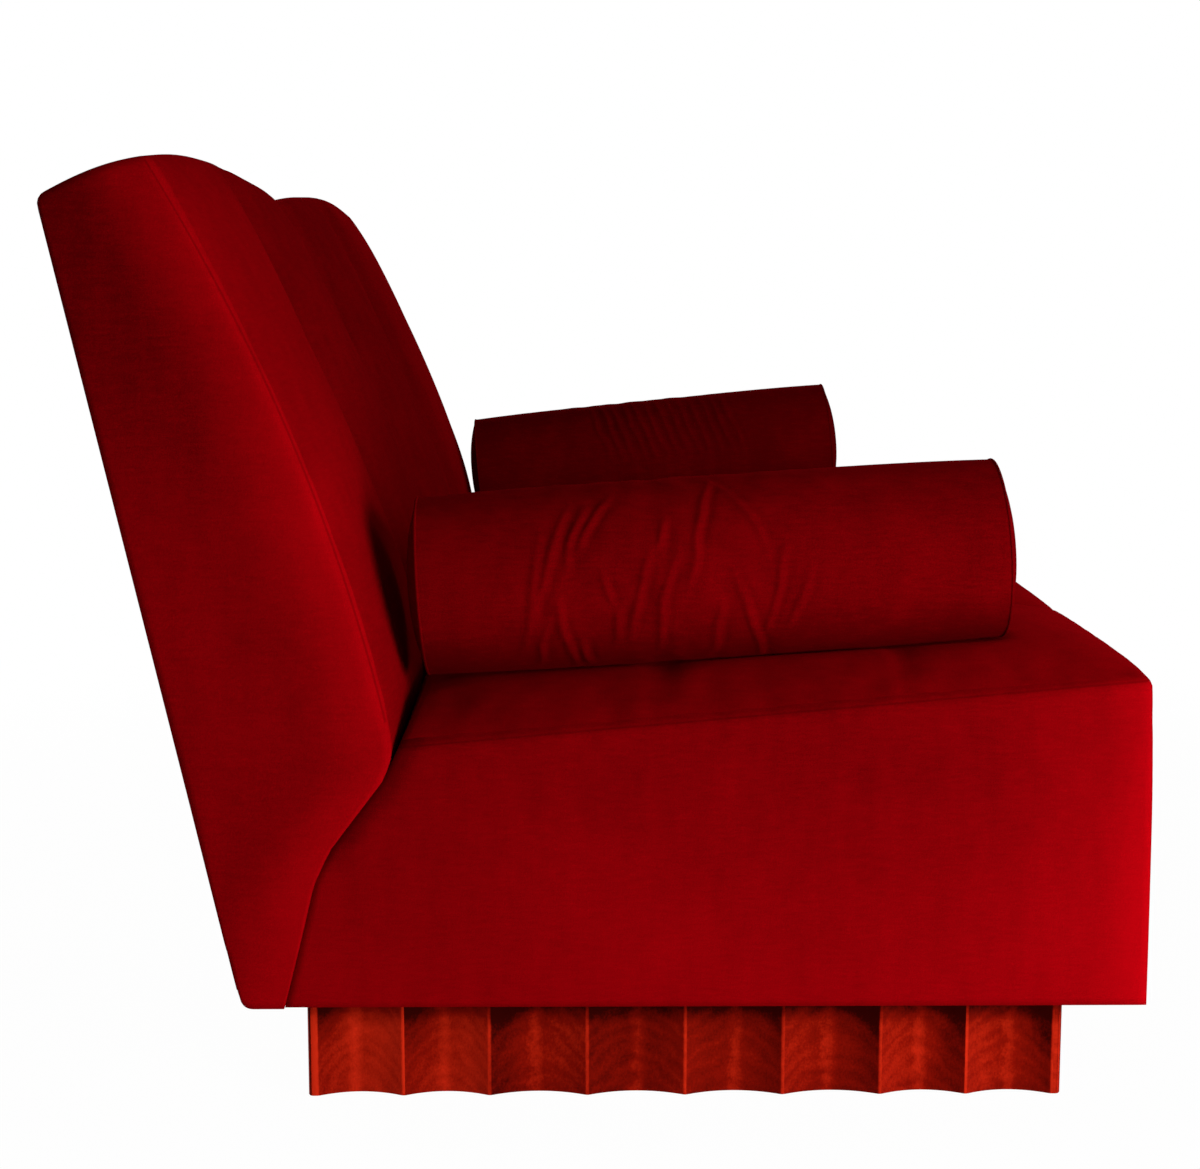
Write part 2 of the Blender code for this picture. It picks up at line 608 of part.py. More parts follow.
def build_back():
    low_levels = [0.0] + [s for n, s in JOIN_BACK[1:-1]]
    levels = (panel_levels(COLUMNS), (0.0, 1.0), low_levels + row_levels())
    cover = form("back_cover", levels, back_place(0.0, REAR_PANEL + GAP), VELVET, EDGE_ROUND)
    stuffing = form("back_hollow", levels, back_place(COVER, REAR_PANEL + GAP + COVER), None)
    wide = HALF_BACK - REAR_HEM
    opening = back_box("back_opening", (-wide, -REAR_FOOT_Y, -HEM),
                       (wide, REAR_PANEL + GAP + 2 * COVER, BACK_TALL - REAR_HEM), None)
    wide = HALF_SEAT - HEM
    window = box("back_window", (-wide, 0.0, BASE - COVER),
                 (wide, join_y(BASE) + 2 * COVER, WINDOW_TOP), None)
    cut(cover, stuffing, opening, window)
    foam_levels = (panel_levels(COLUMNS), (0.0, 1.0), row_levels())
    form("back_foam", foam_levels, back_place(COVER + GAP, BACK_FOAM_REAR), FOAM)
    panel_x = HALF_BACK - REAR_PANEL_INSET
    back_box("back_outer_panel", (-panel_x, 0.0, REAR_PANEL_INSET),
             (panel_x, REAR_PANEL, BACK_TALL - REAR_PANEL_INSET), VELVET)

    inside_x = HALF_BACK - COVER - GAP
    rail_foot = TOP_RAIL_TOP - TOP_RAIL_HEIGHT
    back_box("back_rail_top", (-inside_x, FRAME_REAR, rail_foot), (inside_x, FRAME_FRONT, TOP_RAIL_TOP), TIMBER)
    for side, x in (("right", -inside_x + POST / 2), ("centre", 0.0), ("left", inside_x - POST / 2)):
        board(f"back_post_{side}", post_outline(rail_foot - GAP), x - POST / 2, x + POST / 2, TIMBER)
    for number, s in enumerate(BACK_WEB_AT, 1):
        back_box(f"back_web_{number}", (-inside_x + WEB_END, FRAME_FRONT + GAP, s - BACK_WEB_WIDTH / 2),
                 (inside_x - WEB_END, FRAME_FRONT + GAP + WEB, s + BACK_WEB_WIDTH / 2), WEBBING)
    return cover


def post_outline(top_s):
    # The foot stands on the back's bottom rail, and the post rises along the rear face.
    def spot(n, s):
        point = BACK_FRAME @ Vector((0.0, -n, s))
        return (point.y, point.z)
    foot_z = RAIL_TOP + GAP
    foot_front = join_y(foot_z) + 2 * COVER * JOIN_SLANT
    rear_s = (foot_z - BASE - FRAME_REAR * math.sin(BACK_TILT)) / math.cos(BACK_TILT)
    return [spot(FRAME_REAR, rear_s), spot(FRAME_REAR, top_s), spot(FRAME_FRONT, top_s),
            spot(FRAME_FRONT, POST_WAIST), (foot_front, foot_z + POST_FOOT_HEIGHT), (foot_front, foot_z)]


# Bolsters

def bolster_radius(share):
    return BOLSTER_RADIUS - BOLSTER_DRAW * abs(share) ** 4


def bolster_pieces(side):
    half = BOLSTER_LENGTH / 2
    outer = [(bolster_radius(share), share * half) for share in BOLSTER_RINGS]
    inner = [(radius - BOLSTER_CLOTH, height) for radius, height in reversed(outer)]
    tube = turned(f"bolster_cover_{side}", outer + inner, BOLSTER_STEPS, VELVET, closed=True)
    inside = [(radius - BOLSTER_CLOTH - GAP, height) for radius, height in outer]
    core = turned(f"bolster_core_{side}", [(0.0, half)] + inside + [(0.0, -half)], BOLSTER_STEPS, FOAM)
    rim = bolster_radius(1.0)

    def dome(share, foot):
        return (rim * share, foot + BOLSTER_DOME * (1 - share ** 2))
    foot = half + GAP
    face = [dome(share, foot + BOLSTER_CLOTH) for share in DOME_RINGS]
    lining = [dome(share, foot) for share in reversed(DOME_RINGS)]
    front = turned(f"bolster_end_front_{side}", face + lining, BOLSTER_STEPS, VELVET)
    rear = turned(f"bolster_end_back_{side}", face + lining, BOLSTER_STEPS, VELVET)
    rear.rotation_euler = (math.pi, 0.0, 0.0)
    return tube, core, front, rear


def surface(made):
    # The points of a finished piece, in world places, and its triangles.
    depsgraph = bpy.context.evaluated_depsgraph_get()
    evaluated = made.evaluated_get(depsgraph)
    mesh = evaluated.to_mesh()
    points = [evaluated.matrix_world @ vert.co for vert in mesh.vertices]
    mesh.calc_loop_triangles()
    faces = [tuple(triangle.vertices) for triangle in mesh.loop_triangles]
    evaluated.to_mesh_clear()
    return points, faces


def clear_way(pieces, fixed, way):
    # How far the pieces can go along a way before they touch one of the fixed surfaces.
    shapes = [surface(piece) for piece in pieces]

    def touching(distance):
        for points, faces in shapes:
            moved = BVHTree.FromPolygons([point + way * distance for point in points], faces)
            if any(moved.overlap(other) for other in fixed):
                return True
        return False
    near = 0.0
    while near < 2 * SEAT_SEARCH and not touching(near + SEARCH_STEP):
        near += SEARCH_STEP
    far = near + SEARCH_STEP
    for halving in range(SEARCH_HALVINGS):
        middle = (near + far) / 2
        if touching(middle):
            far = middle
        else:
            near = middle
    return near


def build_bolsters(seat, back):
    # Each bolster is let down on to the seat and pushed level against the back, in turn, and then drawn
    # forward a little and let down again.
    fixed = [BVHTree.FromPolygons(*surface(seat)), BVHTree.FromPolygons(*surface(back))]
    down = Vector((0.0, 0.0, -1.0))
    rearward = Vector((0.0, 1.0, 0.0))
    for side, direction in (("right", -1), ("left", 1)):
        tilt = BOLSTER_TILT[side]
        axis = bpy.data.objects.new(f"bolster_axis_{side}", None)
        PARTS.objects.link(axis)
        axis.rotation_euler = (math.pi / 2 - tilt, 0.0, 0.0)
        x = direction * (HALF_BACK - BOLSTER_FROM_END)
        middle_y = SEAT_REAR - BOLSTER_LENGTH / 2
        axis.location = (x, middle_y - SEAT_SEARCH, seam_z(middle_y) + SEAT_SEARCH)
        tube, core, front, rear = bolster_pieces(side)
        for piece in (tube, core, front, rear):
            piece.parent = axis
        outside = (tube, front, rear)
        for way in (down, rearward) * APPROACHES:
            bpy.context.view_layer.update()
            axis.location += way * (clear_way(outside, fixed, way) - GAP)
        axis.location += Vector((0.0, -BOLSTER_FROM_BACK[side], SEARCH_STEP))
        bpy.context.view_layer.update()
        axis.location += down * (clear_way(outside, fixed, down) - GAP)


back_frame = bpy.data.objects.new("back_frame", None)
PARTS.objects.link(back_frame)
back_frame.matrix_world = BACK_FRAME
build_plinth()
seat_cover = build_seat()
back_cover = build_back()
bpy.context.view_layer.update()
build_bolsters(seat_cover, back_cover)
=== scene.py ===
import math

import bmesh
import bpy
from mathutils import Matrix, Vector, noise


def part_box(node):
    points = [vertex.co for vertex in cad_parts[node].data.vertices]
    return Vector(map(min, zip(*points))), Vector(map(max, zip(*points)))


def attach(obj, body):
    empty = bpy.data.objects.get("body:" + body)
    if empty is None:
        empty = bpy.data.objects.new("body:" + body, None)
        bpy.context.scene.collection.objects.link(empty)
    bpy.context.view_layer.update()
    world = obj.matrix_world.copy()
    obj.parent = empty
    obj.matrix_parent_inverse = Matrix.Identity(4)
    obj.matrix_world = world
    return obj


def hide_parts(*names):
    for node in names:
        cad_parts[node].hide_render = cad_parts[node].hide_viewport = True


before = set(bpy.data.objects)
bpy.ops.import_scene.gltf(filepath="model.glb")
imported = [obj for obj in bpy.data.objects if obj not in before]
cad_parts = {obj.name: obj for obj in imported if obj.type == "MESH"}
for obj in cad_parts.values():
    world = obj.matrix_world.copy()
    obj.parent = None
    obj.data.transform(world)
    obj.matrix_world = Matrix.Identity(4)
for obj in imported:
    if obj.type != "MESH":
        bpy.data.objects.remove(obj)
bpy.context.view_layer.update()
scene = bpy.context.scene
scene.view_settings.view_transform = "Standard"
print("frame loaded:", len(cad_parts), "nodes")


# Shader wiring: a wire is a socket that takes part in Python sums

class Wire:
    def __init__(self, finish, socket):
        self.finish = finish
        self.socket = socket

    def math(self, operation, *others):
        values = {number: value for number, value in enumerate((self,) + others)}
        return self.finish.add("ShaderNodeMath", {"operation": operation}, values)

    def __add__(self, other):
        return self.math("ADD", other)

    def __radd__(self, other):
        return self.math("ADD", other)

    def __sub__(self, other):
        return self.math("SUBTRACT", other)

    def __rsub__(self, other):
        return self.finish.add("ShaderNodeMath", {"operation": "SUBTRACT"}, {0: other, 1: self})

    def __mul__(self, other):
        return self.math("MULTIPLY", other)

    def __truediv__(self, other):
        return self.math("DIVIDE", other)

    def __pow__(self, other):
        return self.math("POWER", other)

    def __abs__(self):
        return self.math("ABSOLUTE")

    def least(self, other):
        return self.math("MINIMUM", other)

    def most(self, other):
        return self.math("MAXIMUM", other)

    def sine(self):
        return self.math("SINE")

    def fract(self):
        return self.math("FRACT")

    def floor(self):
        return self.math("FLOOR")

    def above(self, edge):
        return self.math("GREATER_THAN", edge)

    def below(self, edge):
        return self.math("LESS_THAN", edge)

    def ease(self, start, end):  # nought at start, one at end, smooth between
        settings = {"interpolation_type": "SMOOTHSTEP"}
        inputs = {"Value": self, "From Min": start, "From Max": end}
        return self.finish.add("ShaderNodeMapRange", settings, inputs)


class Finish:
    def __init__(self, name, **constants):
        self.material = bpy.data.materials.new(name)
        self.material.use_nodes = True
        self.tree = self.material.node_tree
        self.shader = self.tree.nodes["Principled BSDF"]
        for socket, value in constants.items():
            self.shader.inputs[socket.replace("_", " ")].default_value = value

    def add(self, kind, settings=None, inputs=None, output=0):
        node = self.tree.nodes.new(kind)
        for name, value in (settings or {}).items():
            if name == "stops":
                ramp = node.color_ramp.elements
                while len(ramp) < len(value):
                    ramp.new(1.0)
                for stop, (place, colour) in zip(ramp, value):
                    stop.position = place
                    stop.color = (*colour, 1.0)
            else:
                setattr(node, name, value)
        for name, value in (inputs or {}).items():
            if isinstance(value, Wire):
                self.tree.links.new(value.socket, node.inputs[name])
            else:
                node.inputs[name].default_value = value
        return Wire(self, node.outputs[output])

    def feed(self, socket, wire):
        self.tree.links.new(wire.socket, self.shader.inputs[socket])

    def place(self):
        return self.add("ShaderNodeTexCoord", output="Object")

    def stretched(self, place, scale, turn=(0.0, 0.0, 0.0)):
        return self.add("ShaderNodeMapping", None, {"Vector": place, "Rotation": turn, "Scale": scale})

    def grain(self, place, scale, detail=2.0, rough=0.5):
        inputs = {"Vector": place, "Scale": scale, "Detail": detail, "Roughness": rough}
        return self.add("ShaderNodeTexNoise", None, inputs)

    def blend(self, share, first, second):
        return self.add("ShaderNodeMix", {"data_type": "RGBA"}, {0: share, 6: first, 7: second}, 2)

    def split(self, place):
        node = self.tree.nodes.new("ShaderNodeSeparateXYZ")
        self.tree.links.new(place.socket, node.inputs[0])
        return [Wire(self, output) for output in node.outputs]

    def bump(self, height, depth, strength=1.0):
        inputs = {"Height": height, "Distance": depth, "Strength": strength}
        self.feed("Normal", self.add("ShaderNodeBump", None, inputs, "Normal"))


# Velvet

velvetSet = {
    "deep": (0.085, 0.0001, 0.0008, 1.0),     # pile that leans away
    "full": (0.430, 0.0006, 0.0034, 1.0),     # pile that leans to the eye
    "seam": (0.030, 0.0001, 0.0004, 1.0),
    "sheenTint": (0.60, 0.004, 0.010, 1.0),
    "seamWidth": 0.0008,
    "seamDepth": 0.0018,
    "grooveReach": 0.0045,                    # from a seam to where the pile lies level again
    "dimpleReach": 0.012,
    "pileDepth": 0.0007,
}


def velvet(name, plan=None, level=0.36, seamShow=0.6):
    # The plan gives the distance from a sewn seam, the distance from a soft dimple and the painted light and
    # shade added to the tone
    cloth = Finish(name, Specular_IOR_Level=0.0, Sheen_Weight=0.10, Sheen_Roughness=0.40,
                   Sheen_Tint=velvetSet["sheenTint"])
    spot = cloth.place()
    brushed = cloth.grain(spot, 6.0, 3.0, 0.6)
    strokes = cloth.grain(cloth.stretched(spot, (1.0, 1.0, 0.25)), 38.0, 3.0, 0.6)
    weft = cloth.grain(cloth.stretched(spot, (0.14, 0.14, 1.0)), 330.0, 2.0, 0.6)
    specks = cloth.grain(spot, 900.0, 2.0, 0.7)
    tone = level + (brushed - 0.5) * 0.28 + (strokes - 0.5) * 0.18
    tone = tone + (weft - 0.5) * 0.20 + (specks - 0.5) * 0.46
    height = specks * 0.35 + weft * 0.15 + strokes * 0.5
    if plan:
        sewn, soft, paintedLight = plan(cloth, spot)
        # painted light and shade from the plan, added to the velvet's tone
        tone = tone + paintedLight
    colour = cloth.blend(tone, velvetSet["deep"], velvetSet["full"])
    if plan and sewn:
        line = sewn.ease(velvetSet["seamWidth"] * 1.6, velvetSet["seamWidth"] * 0.4)
        groove = sewn.ease(velvetSet["grooveReach"], 0.0)
        height = height - groove * groove * (seamShow ** 3 * velvetSet["seamDepth"] / velvetSet["pileDepth"])
        height = height - soft.ease(velvetSet["dimpleReach"], 0.0) * 0.6
        colour = cloth.blend(line * (seamShow * 1.2), colour, velvetSet["seam"])
    cloth.feed("Base Color", colour)
    cloth.feed("Roughness", 0.80 + (strokes - 0.5) * 0.20)
    cloth.bump(height, velvetSet["pileDepth"], 0.7)
    return cloth.material


def nearest(gaps):
    best = gaps[0]
    for gap in gaps[1:]:
        best = best.least(gap)
    return best


# Mahogany, on each board's own map: the whole part of U is the flute's number, V is the height

mahoganySet = {
    "dark": (0.030, 0.0006, 0.0004),
    "mid": (0.210, 0.0042, 0.0012),
    "light": (0.640, 0.0230, 0.0060),
    "arcs": 330.0,         # grain lines per metre of height, as an angle
    "arch": 0.030,         # rise of an arc from a ridge to the flute's middle
    "figureAndHighlight": 0.22,        # half width of the light band down a hollow, lighter grain in the wood and a painted reflection of the light, as a share of half the hollow
    "ridge": (0.93, 0.97),
    "turn": (3.0, 6.0),    # flute numbers between which the lit half changes side
    "darkTop": (0.074, 0.116), "topShade": 0.72,
    "darkHalf": (0.80, 0.10), "halfRise": (0.03, 0.105), "halfShade": 0.30, "halfFoot": 0.12,
    "litHalf": (-0.1, 0.6), "litPale": 0.10,
    "firstFlutes": (3.4, 1.2), "paintedFirstLight": 0.32,
    "laterFlutes": ((5.5, 7.0), (9.0, 8.0)), "paintedLaterLight": 0.08,
}


def mahogany(name):
    wood = Finish(name, Specular_IOR_Level=0.04, Specular_Tint=(1.0, 0.12, 0.05, 1.0))
    across, height = wood.split(wood.add("ShaderNodeUVMap", {"uv_map": "flutes"}))[:2]
    number = across.floor()
    side = (across.fract() - 0.5) * 2.0
    own = (number * 12.9898).sine() * 43.7
    drift = own - own.floor()
    spread = {"X": side * 0.045 + number * 1.7, "Y": height, "Z": drift}
    flat = wood.add("ShaderNodeCombineXYZ", None, spread)
    wander = wood.grain(flat, 16.0, 3.0, 0.6)
    fray = wood.grain(flat, 60.0, 3.0, 0.6)
    arc = height + side * side * mahoganySet["arch"] * (0.6 + drift * 0.8) + (wander - 0.5) * 0.060
    lines = ((arc + drift * 0.05) * mahoganySet["arcs"]).sine() * 0.5 + 0.5
    broad = wood.grain(wood.stretched(flat, (1.0, 0.7, 1.0)), 18.0, 3.0, 0.6)
    pores = wood.grain(wood.stretched(flat, (1.0, 0.6, 1.0)), 520.0, 2.0, 0.7)
    offset = abs(side + (drift - 0.5) * 0.25 + (fray - 0.5) * 0.30)
    # the light band down the middle of each hollow: lighter grain, and a painted reflection of the light
    middle = offset.ease(mahoganySet["figureAndHighlight"], 0.0)
    # painted highlight along each ridge
    ridge = abs(side).ease(*mahoganySet["ridge"])
    # painted light and shade: one half of each hollow is painted lighter, the other darker; the halves swap
    # between the flute numbers in turn
    facing = side * (1.0 - number.ease(*mahoganySet["turn"]) * 2.0)  # on an end, the lit half is the inner one
    beside = (facing + 1.0).ease(*mahoganySet["darkHalf"]) * (1.0 - ridge)
    rising = mahoganySet["halfFoot"] + height.ease(*mahoganySet["halfRise"]) * mahoganySet["halfShade"]
    # painted shadow of the seat's overhang along the top of each board, and painted shade on the darker half
    # of each hollow, deeper towards the top
    shade = height.ease(*mahoganySet["darkTop"]) * mahoganySet["topShade"] + beside * rising
    tone = 0.36 + (lines - 0.5) * 0.08 + (broad - 0.5) * 0.42
    tone = tone + (pores - 0.5) * 0.42 + (fray - 0.5) * 0.20
    tone = tone + middle * (0.20 + (fray - 0.5) * 0.24) + ridge * 0.40 - shade
    # painted light: the lit half of each hollow, the first flutes of a board and a few later ones are made
    # lighter
    start, end = mahoganySet["laterFlutes"]
    later = number.ease(*start) * number.ease(*end) * mahoganySet["paintedLaterLight"]
    outer = number.ease(*mahoganySet["firstFlutes"]) * mahoganySet["paintedFirstLight"] + later
    tone = tone + facing.ease(*mahoganySet["litHalf"]) * mahoganySet["litPale"] + outer - 0.06
    stops = [(0.0, mahoganySet["dark"]), (0.42, mahoganySet["mid"]), (1.0, mahoganySet["light"])]
    colour = wood.add("ShaderNodeValToRGB", {"stops": stops}, {"Fac": tone})
    wood.feed("Base Color", colour)
    wood.feed("Roughness", 0.54 + (pores - 0.5) * 0.25 + (lines - 0.5) * 0.06)
    wood.bump(lines * 0.2 + pores * 0.8, 0.0003, 0.5)
    return wood.material


# Plain stuff under and inside the settee

def timber(name):
    wood = Finish(name, Specular_IOR_Level=0.3)
    spot = wood.place()
    run = wood.stretched(spot, (0.10, 0.35, 1.0))
    rings = wood.grain(run, 60.0, 4.0, 0.6)
    fibre = wood.grain(wood.stretched(spot, (0.05, 0.20, 1.0)), 420.0, 2.0, 0.6)
    tone = 0.5 + (rings - 0.5) * 1.2 + (fibre - 0.5) * 0.5
    wood.feed("Base Color", wood.blend(tone, (0.36, 0.22, 0.11, 1.0), (0.70, 0.52, 0.32, 1.0)))
    wood.feed("Roughness", 0.62 + (fibre - 0.5) * 0.3)
    wood.bump(fibre, 0.0004, 0.6)
    return wood.material


def lining(name):
    cloth = Finish(name, Specular_IOR_Level=0.2)
    spot = cloth.place()
    x, y = cloth.split(spot)[:2]
    cells = ((x * 900.0).sine() * (y * 900.0).sine()) * 0.5 + 0.5  # pressed dots of non-woven cloth
    felt = cloth.grain(spot, 260.0, 3.0, 0.6)
    cloth.feed("Base Color", cloth.blend(felt, (0.008, 0.008, 0.009, 1.0), (0.050, 0.050, 0.054, 1.0)))
    cloth.feed("Roughness", 0.75 + (felt - 0.5) * 0.3)
    cloth.bump(cells * 0.6 + felt * 0.4, 0.0004, 0.6)
    return cloth.material


def webbing(name):
    cloth = Finish(name, Specular_IOR_Level=0.2)
    spot = cloth.place()
    x, y = cloth.split(spot)[:2]
    weave = (x * 1500.0).sine() * (y * 1500.0).sine() * 0.5 + 0.5
    wear = cloth.grain(spot, 40.0, 2.0, 0.5)
    tone = weave * 0.6 + wear * 0.4
    cloth.feed("Base Color", cloth.blend(tone, (0.20, 0.15, 0.10, 1.0), (0.42, 0.35, 0.27, 1.0)))
    cloth.feed("Roughness", 0.80 + (wear - 0.5) * 0.2)
    cloth.bump(weave, 0.0004, 0.6)
    return cloth.material


def zincSteel(name):
    metal = Finish(name)
    spot = metal.place()
    bloom = metal.grain(spot, 160.0, 3.0, 0.6)
    metal.feed("Base Color", metal.blend(bloom, (0.42, 0.43, 0.44, 1.0), (0.66, 0.66, 0.64, 1.0)))
    metal.feed("Metallic", 0.85 + bloom * 0.15)
    metal.feed("Roughness", 0.28 + bloom * 0.25)
    metal.bump(bloom, 0.0001, 0.4)
    return metal.material


def glidePlastic(name):
    plastic = Finish(name, Specular_IOR_Level=0.4)
    spot = plastic.place()
    scuff = plastic.grain(spot, 90.0, 3.0, 0.6)
    grit = plastic.grain(spot, 1400.0, 1.0, 0.5)
    plastic.feed("Base Color", plastic.blend(scuff, (0.020, 0.019, 0.018, 1.0), (0.075, 0.068, 0.062, 1.0)))
    plastic.feed("Roughness", 0.50 + scuff * 0.3)
    plastic.bump(grit, 0.0002, 0.5)
    return plastic.material


# Small helpers

def mixed(first, second, share):
    return first + (second - first) * share


def lineAt(points, value):  # first coordinate of a line of points, read at a second coordinate
    for (a, atA), (b, atB) in zip(points, points[1:]):
        if value <= atB:
            break
    return a + (b - a) * (value - atA) / (atB - atA)


def lineOf(points, wire):  # the same for a wire
    line = before = None
    for (a, atA), (b, atB) in zip(points, points[1:]):
        slope = (b - a) / (atB - atA)
        line = line + (wire - atA).most(0.0) * (slope - before) if line else (wire - atA) * slope + a
        before = slope
    return line


def rolled(distance, reach):
    return math.sin(math.pi / 2 * min(max(distance / reach, 0.0), 1.0))


def swell(share, count):
    return abs(math.sin(math.pi * share * count)) ** 0.7


def cutBlock(cells):
    # A unit block whose sides are cut into cells along X, Y and Z
    bm = bmesh.new()
    bmesh.ops.create_cube(bm, size=1.0)
    bmesh.ops.translate(bm, verts=bm.verts, vec=(0.5, 0.5, 0.5))
    for axis, count in enumerate(cells):
        edges = [edge for edge in bm.edges if abs(edge.verts[1].co[axis] - edge.verts[0].co[axis]) > 1e-6]
        bmesh.ops.subdivide_edges(bm, edges=edges, cuts=count - 1, use_grid_fill=True)
    return bm


def makePiece(name, bm, material, body, nodes=()):
    mesh = bpy.data.meshes.new(name)
    bmesh.ops.recalc_face_normals(bm, faces=bm.faces)
    if bm.calc_volume(signed=True) < 0.0:
        bmesh.ops.reverse_faces(bm, faces=bm.faces)
    bm.to_mesh(mesh)
    bm.free()
    mesh.materials.append(material)
    mesh.shade_smooth()
    piece = bpy.data.objects.new(name, mesh)
    scene.collection.objects.link(piece)
    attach(piece, body)
    if nodes:
        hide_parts(*nodes)
    return piece


def finer(piece, levels=1):
    step = piece.modifiers.new("finer", "SUBSURF")
    step.levels = levels
    step.render_levels = levels


def puff(piece, pins, push, cap, slack=0.0, frames=20, restPoints=None):
    # Cloth under pressure, held where it is sewn; no point goes further than the cap
    mesh = piece.data
    start = [vert.co.copy() for vert in mesh.vertices]
    group = piece.vertex_groups.new(name="sewn")
    for index, weight in enumerate(pins):
        if weight > 0.0:
            group.add([index], weight, "REPLACE")
    cloth = piece.modifiers.new("puff", "CLOTH")
    stuff = cloth.settings
    stuff.quality = 5
    stuff.mass = 0.3
    stuff.tension_stiffness = 15.0
    stuff.compression_stiffness = 15.0
    stuff.shear_stiffness = 5.0
    stuff.bending_stiffness = 0.5
    stuff.use_pressure = True
    stuff.uniform_pressure_force = push
    stuff.vertex_group_mass = "sewn"
    stuff.shrink_min = -slack
    stuff.effector_weights.gravity = 0.0
    cloth.collision_settings.use_collision = False
    if restPoints:
        piece.shape_key_add(name="placed")
        loose = piece.shape_key_add(name="loose")
        for point, place in zip(loose.data, restPoints):
            point.co = place
        stuff.rest_shape_key = loose
    cloth.point_cache.frame_start = 1
    cloth.point_cache.frame_end = frames
    for number in range(1, frames + 1):
        scene.frame_set(number)
    evaluated = piece.evaluated_get(bpy.context.evaluated_depsgraph_get())
    moved = [vert.co.copy() for vert in evaluated.data.vertices]
    piece.modifiers.remove(cloth)
    if restPoints:
        piece.shape_key_clear()
    piece.vertex_groups.remove(group)
    scene.frame_set(1)
    furthest = 0.0
    for vert, old, new in zip(mesh.vertices, start, moved):
        shift = new - old
        furthest = max(furthest, shift.length)
        if shift.length > cap:
            shift = shift * (cap / shift.length)
        vert.co = old + shift
    print(piece.name, "swelled by up to", round(furthest * 1000, 1), "mm")


# Seat

# The line where seat and back meet, as Y and Z from the foot up
joinLine = ((0.3170, 0.1209), (0.2995, 0.1888), (0.2860, 0.2450), (0.2693, 0.2806), (0.2178, 0.3486),
            (0.1939, 0.3987), (0.1880, 0.4120))
joinCorners = joinLine[2:5]

seatSet = {
    "half": 0.870, "foot": 0.1209, "front": 0.533, "lean": 0.003,
    "seamFront": 0.446, "seamRear": 0.381,
    "crown": 0.029, "frontCrown": 0.003, "frontRoll": 0.280, "endRoll": 0.110,
    "tuft": 0.008, "centreDip": 0.006, "dipWidth": 0.070,
    "columns": 4, "rows": 3, "cells": (112, 48, 20), "cornerRows": (9, 12, 17),
    "gap": 0.0002, "push": 2.0, "slack": 0.008, "cap": 0.014,
    "level": 0.30, "seamShow": 0.25, "endBand": 0.012,
    # painted light and shade of the seat's velvet: shadow by the joint, light towards the foot, the front edge
    # and the front
    "jointShadowReach": 0.035, "jointShadowRise": (0.24, 0.30), "jointShadowDark": 0.30,
    "footReach": (0.42, 0.13), "paintedFootLight": 0.20, "edgeReach": (-0.47, -0.54), "paintedEdgeLight": 0.25,
    "frontReach": (-0.30, -0.53), "paintedFrontLight": 0.15,
}
seatRear = lineAt(joinLine, seatSet["seamRear"])
seatDeep = seatSet["front"] + seatRear
seatTall = seatSet["seamRear"] - seatSet["foot"]
# Shares of the rear's height for shares of the rows of cells, so that rows meet the joint's corners
seatShares = [(0.0, 0.0), (1.0, 1.0)]
seatShares[1:1] = [((corner[1] - seatSet["foot"]) / seatTall, row / seatSet["cells"][2])
                   for corner, row in zip(joinCorners, seatSet["cornerRows"])]


def seatSeam(y):
    return mixed(seatSet["seamFront"], seatSet["seamRear"], (y + seatSet["front"]) / seatDeep)


def seatPoint(u, v, w):
    x = (2 * u - 1) * seatSet["half"]
    flatY = mixed(-seatSet["front"], seatRear, v)
    crown = mixed(seatSet["frontCrown"], seatSet["crown"], rolled(v * seatDeep, seatSet["frontRoll"]))
    rise = crown * rolled(seatSet["half"] - abs(x), seatSet["endRoll"])
    rise += seatSet["tuft"] * swell(u, seatSet["columns"]) * (0.5 + 0.5 * swell(v, seatSet["rows"]))
    rise -= seatSet["centreDip"] * math.exp(-(x / seatSet["dipWidth"]) ** 2)
    z = mixed(seatSet["foot"], seatSeam(flatY) + rise, lineAt(seatShares, w))
    up = min((z - seatSet["foot"]) / (seatSet["seamFront"] - seatSet["foot"]), 1.0)
    front = -seatSet["front"] + seatSet["lean"] * up ** 2
    rear = lineAt(joinLine, z) - seatSet["gap"]
    return Vector((x, mixed(front, rear, v), z))


def onSeam(share, count):
    return abs(share * count - round(share * count)) < 0.001


def seatPin(u, v, w):
    onTop = w > 0.999
    atEnd = u < 0.001 or u > 0.999
    if w < 0.001 or v > 0.999:
        return 1.0
    if onTop and onSeam(u, seatSet["columns"]):
        return 1.0
    if onTop and onSeam(v, seatSet["rows"]):
        return 0.6
    if atEnd and v < 0.001:
        return 1.0
    return 0.0 if onTop else 0.7


def seatCrease(u, v, w):
    if w < 0.001 or v > 0.999:
        return 1.0
    if w > 0.999:
        return 0.2 if v > 0.001 else 0.0
    return mixed(0.8, 0.1, w ** 2)


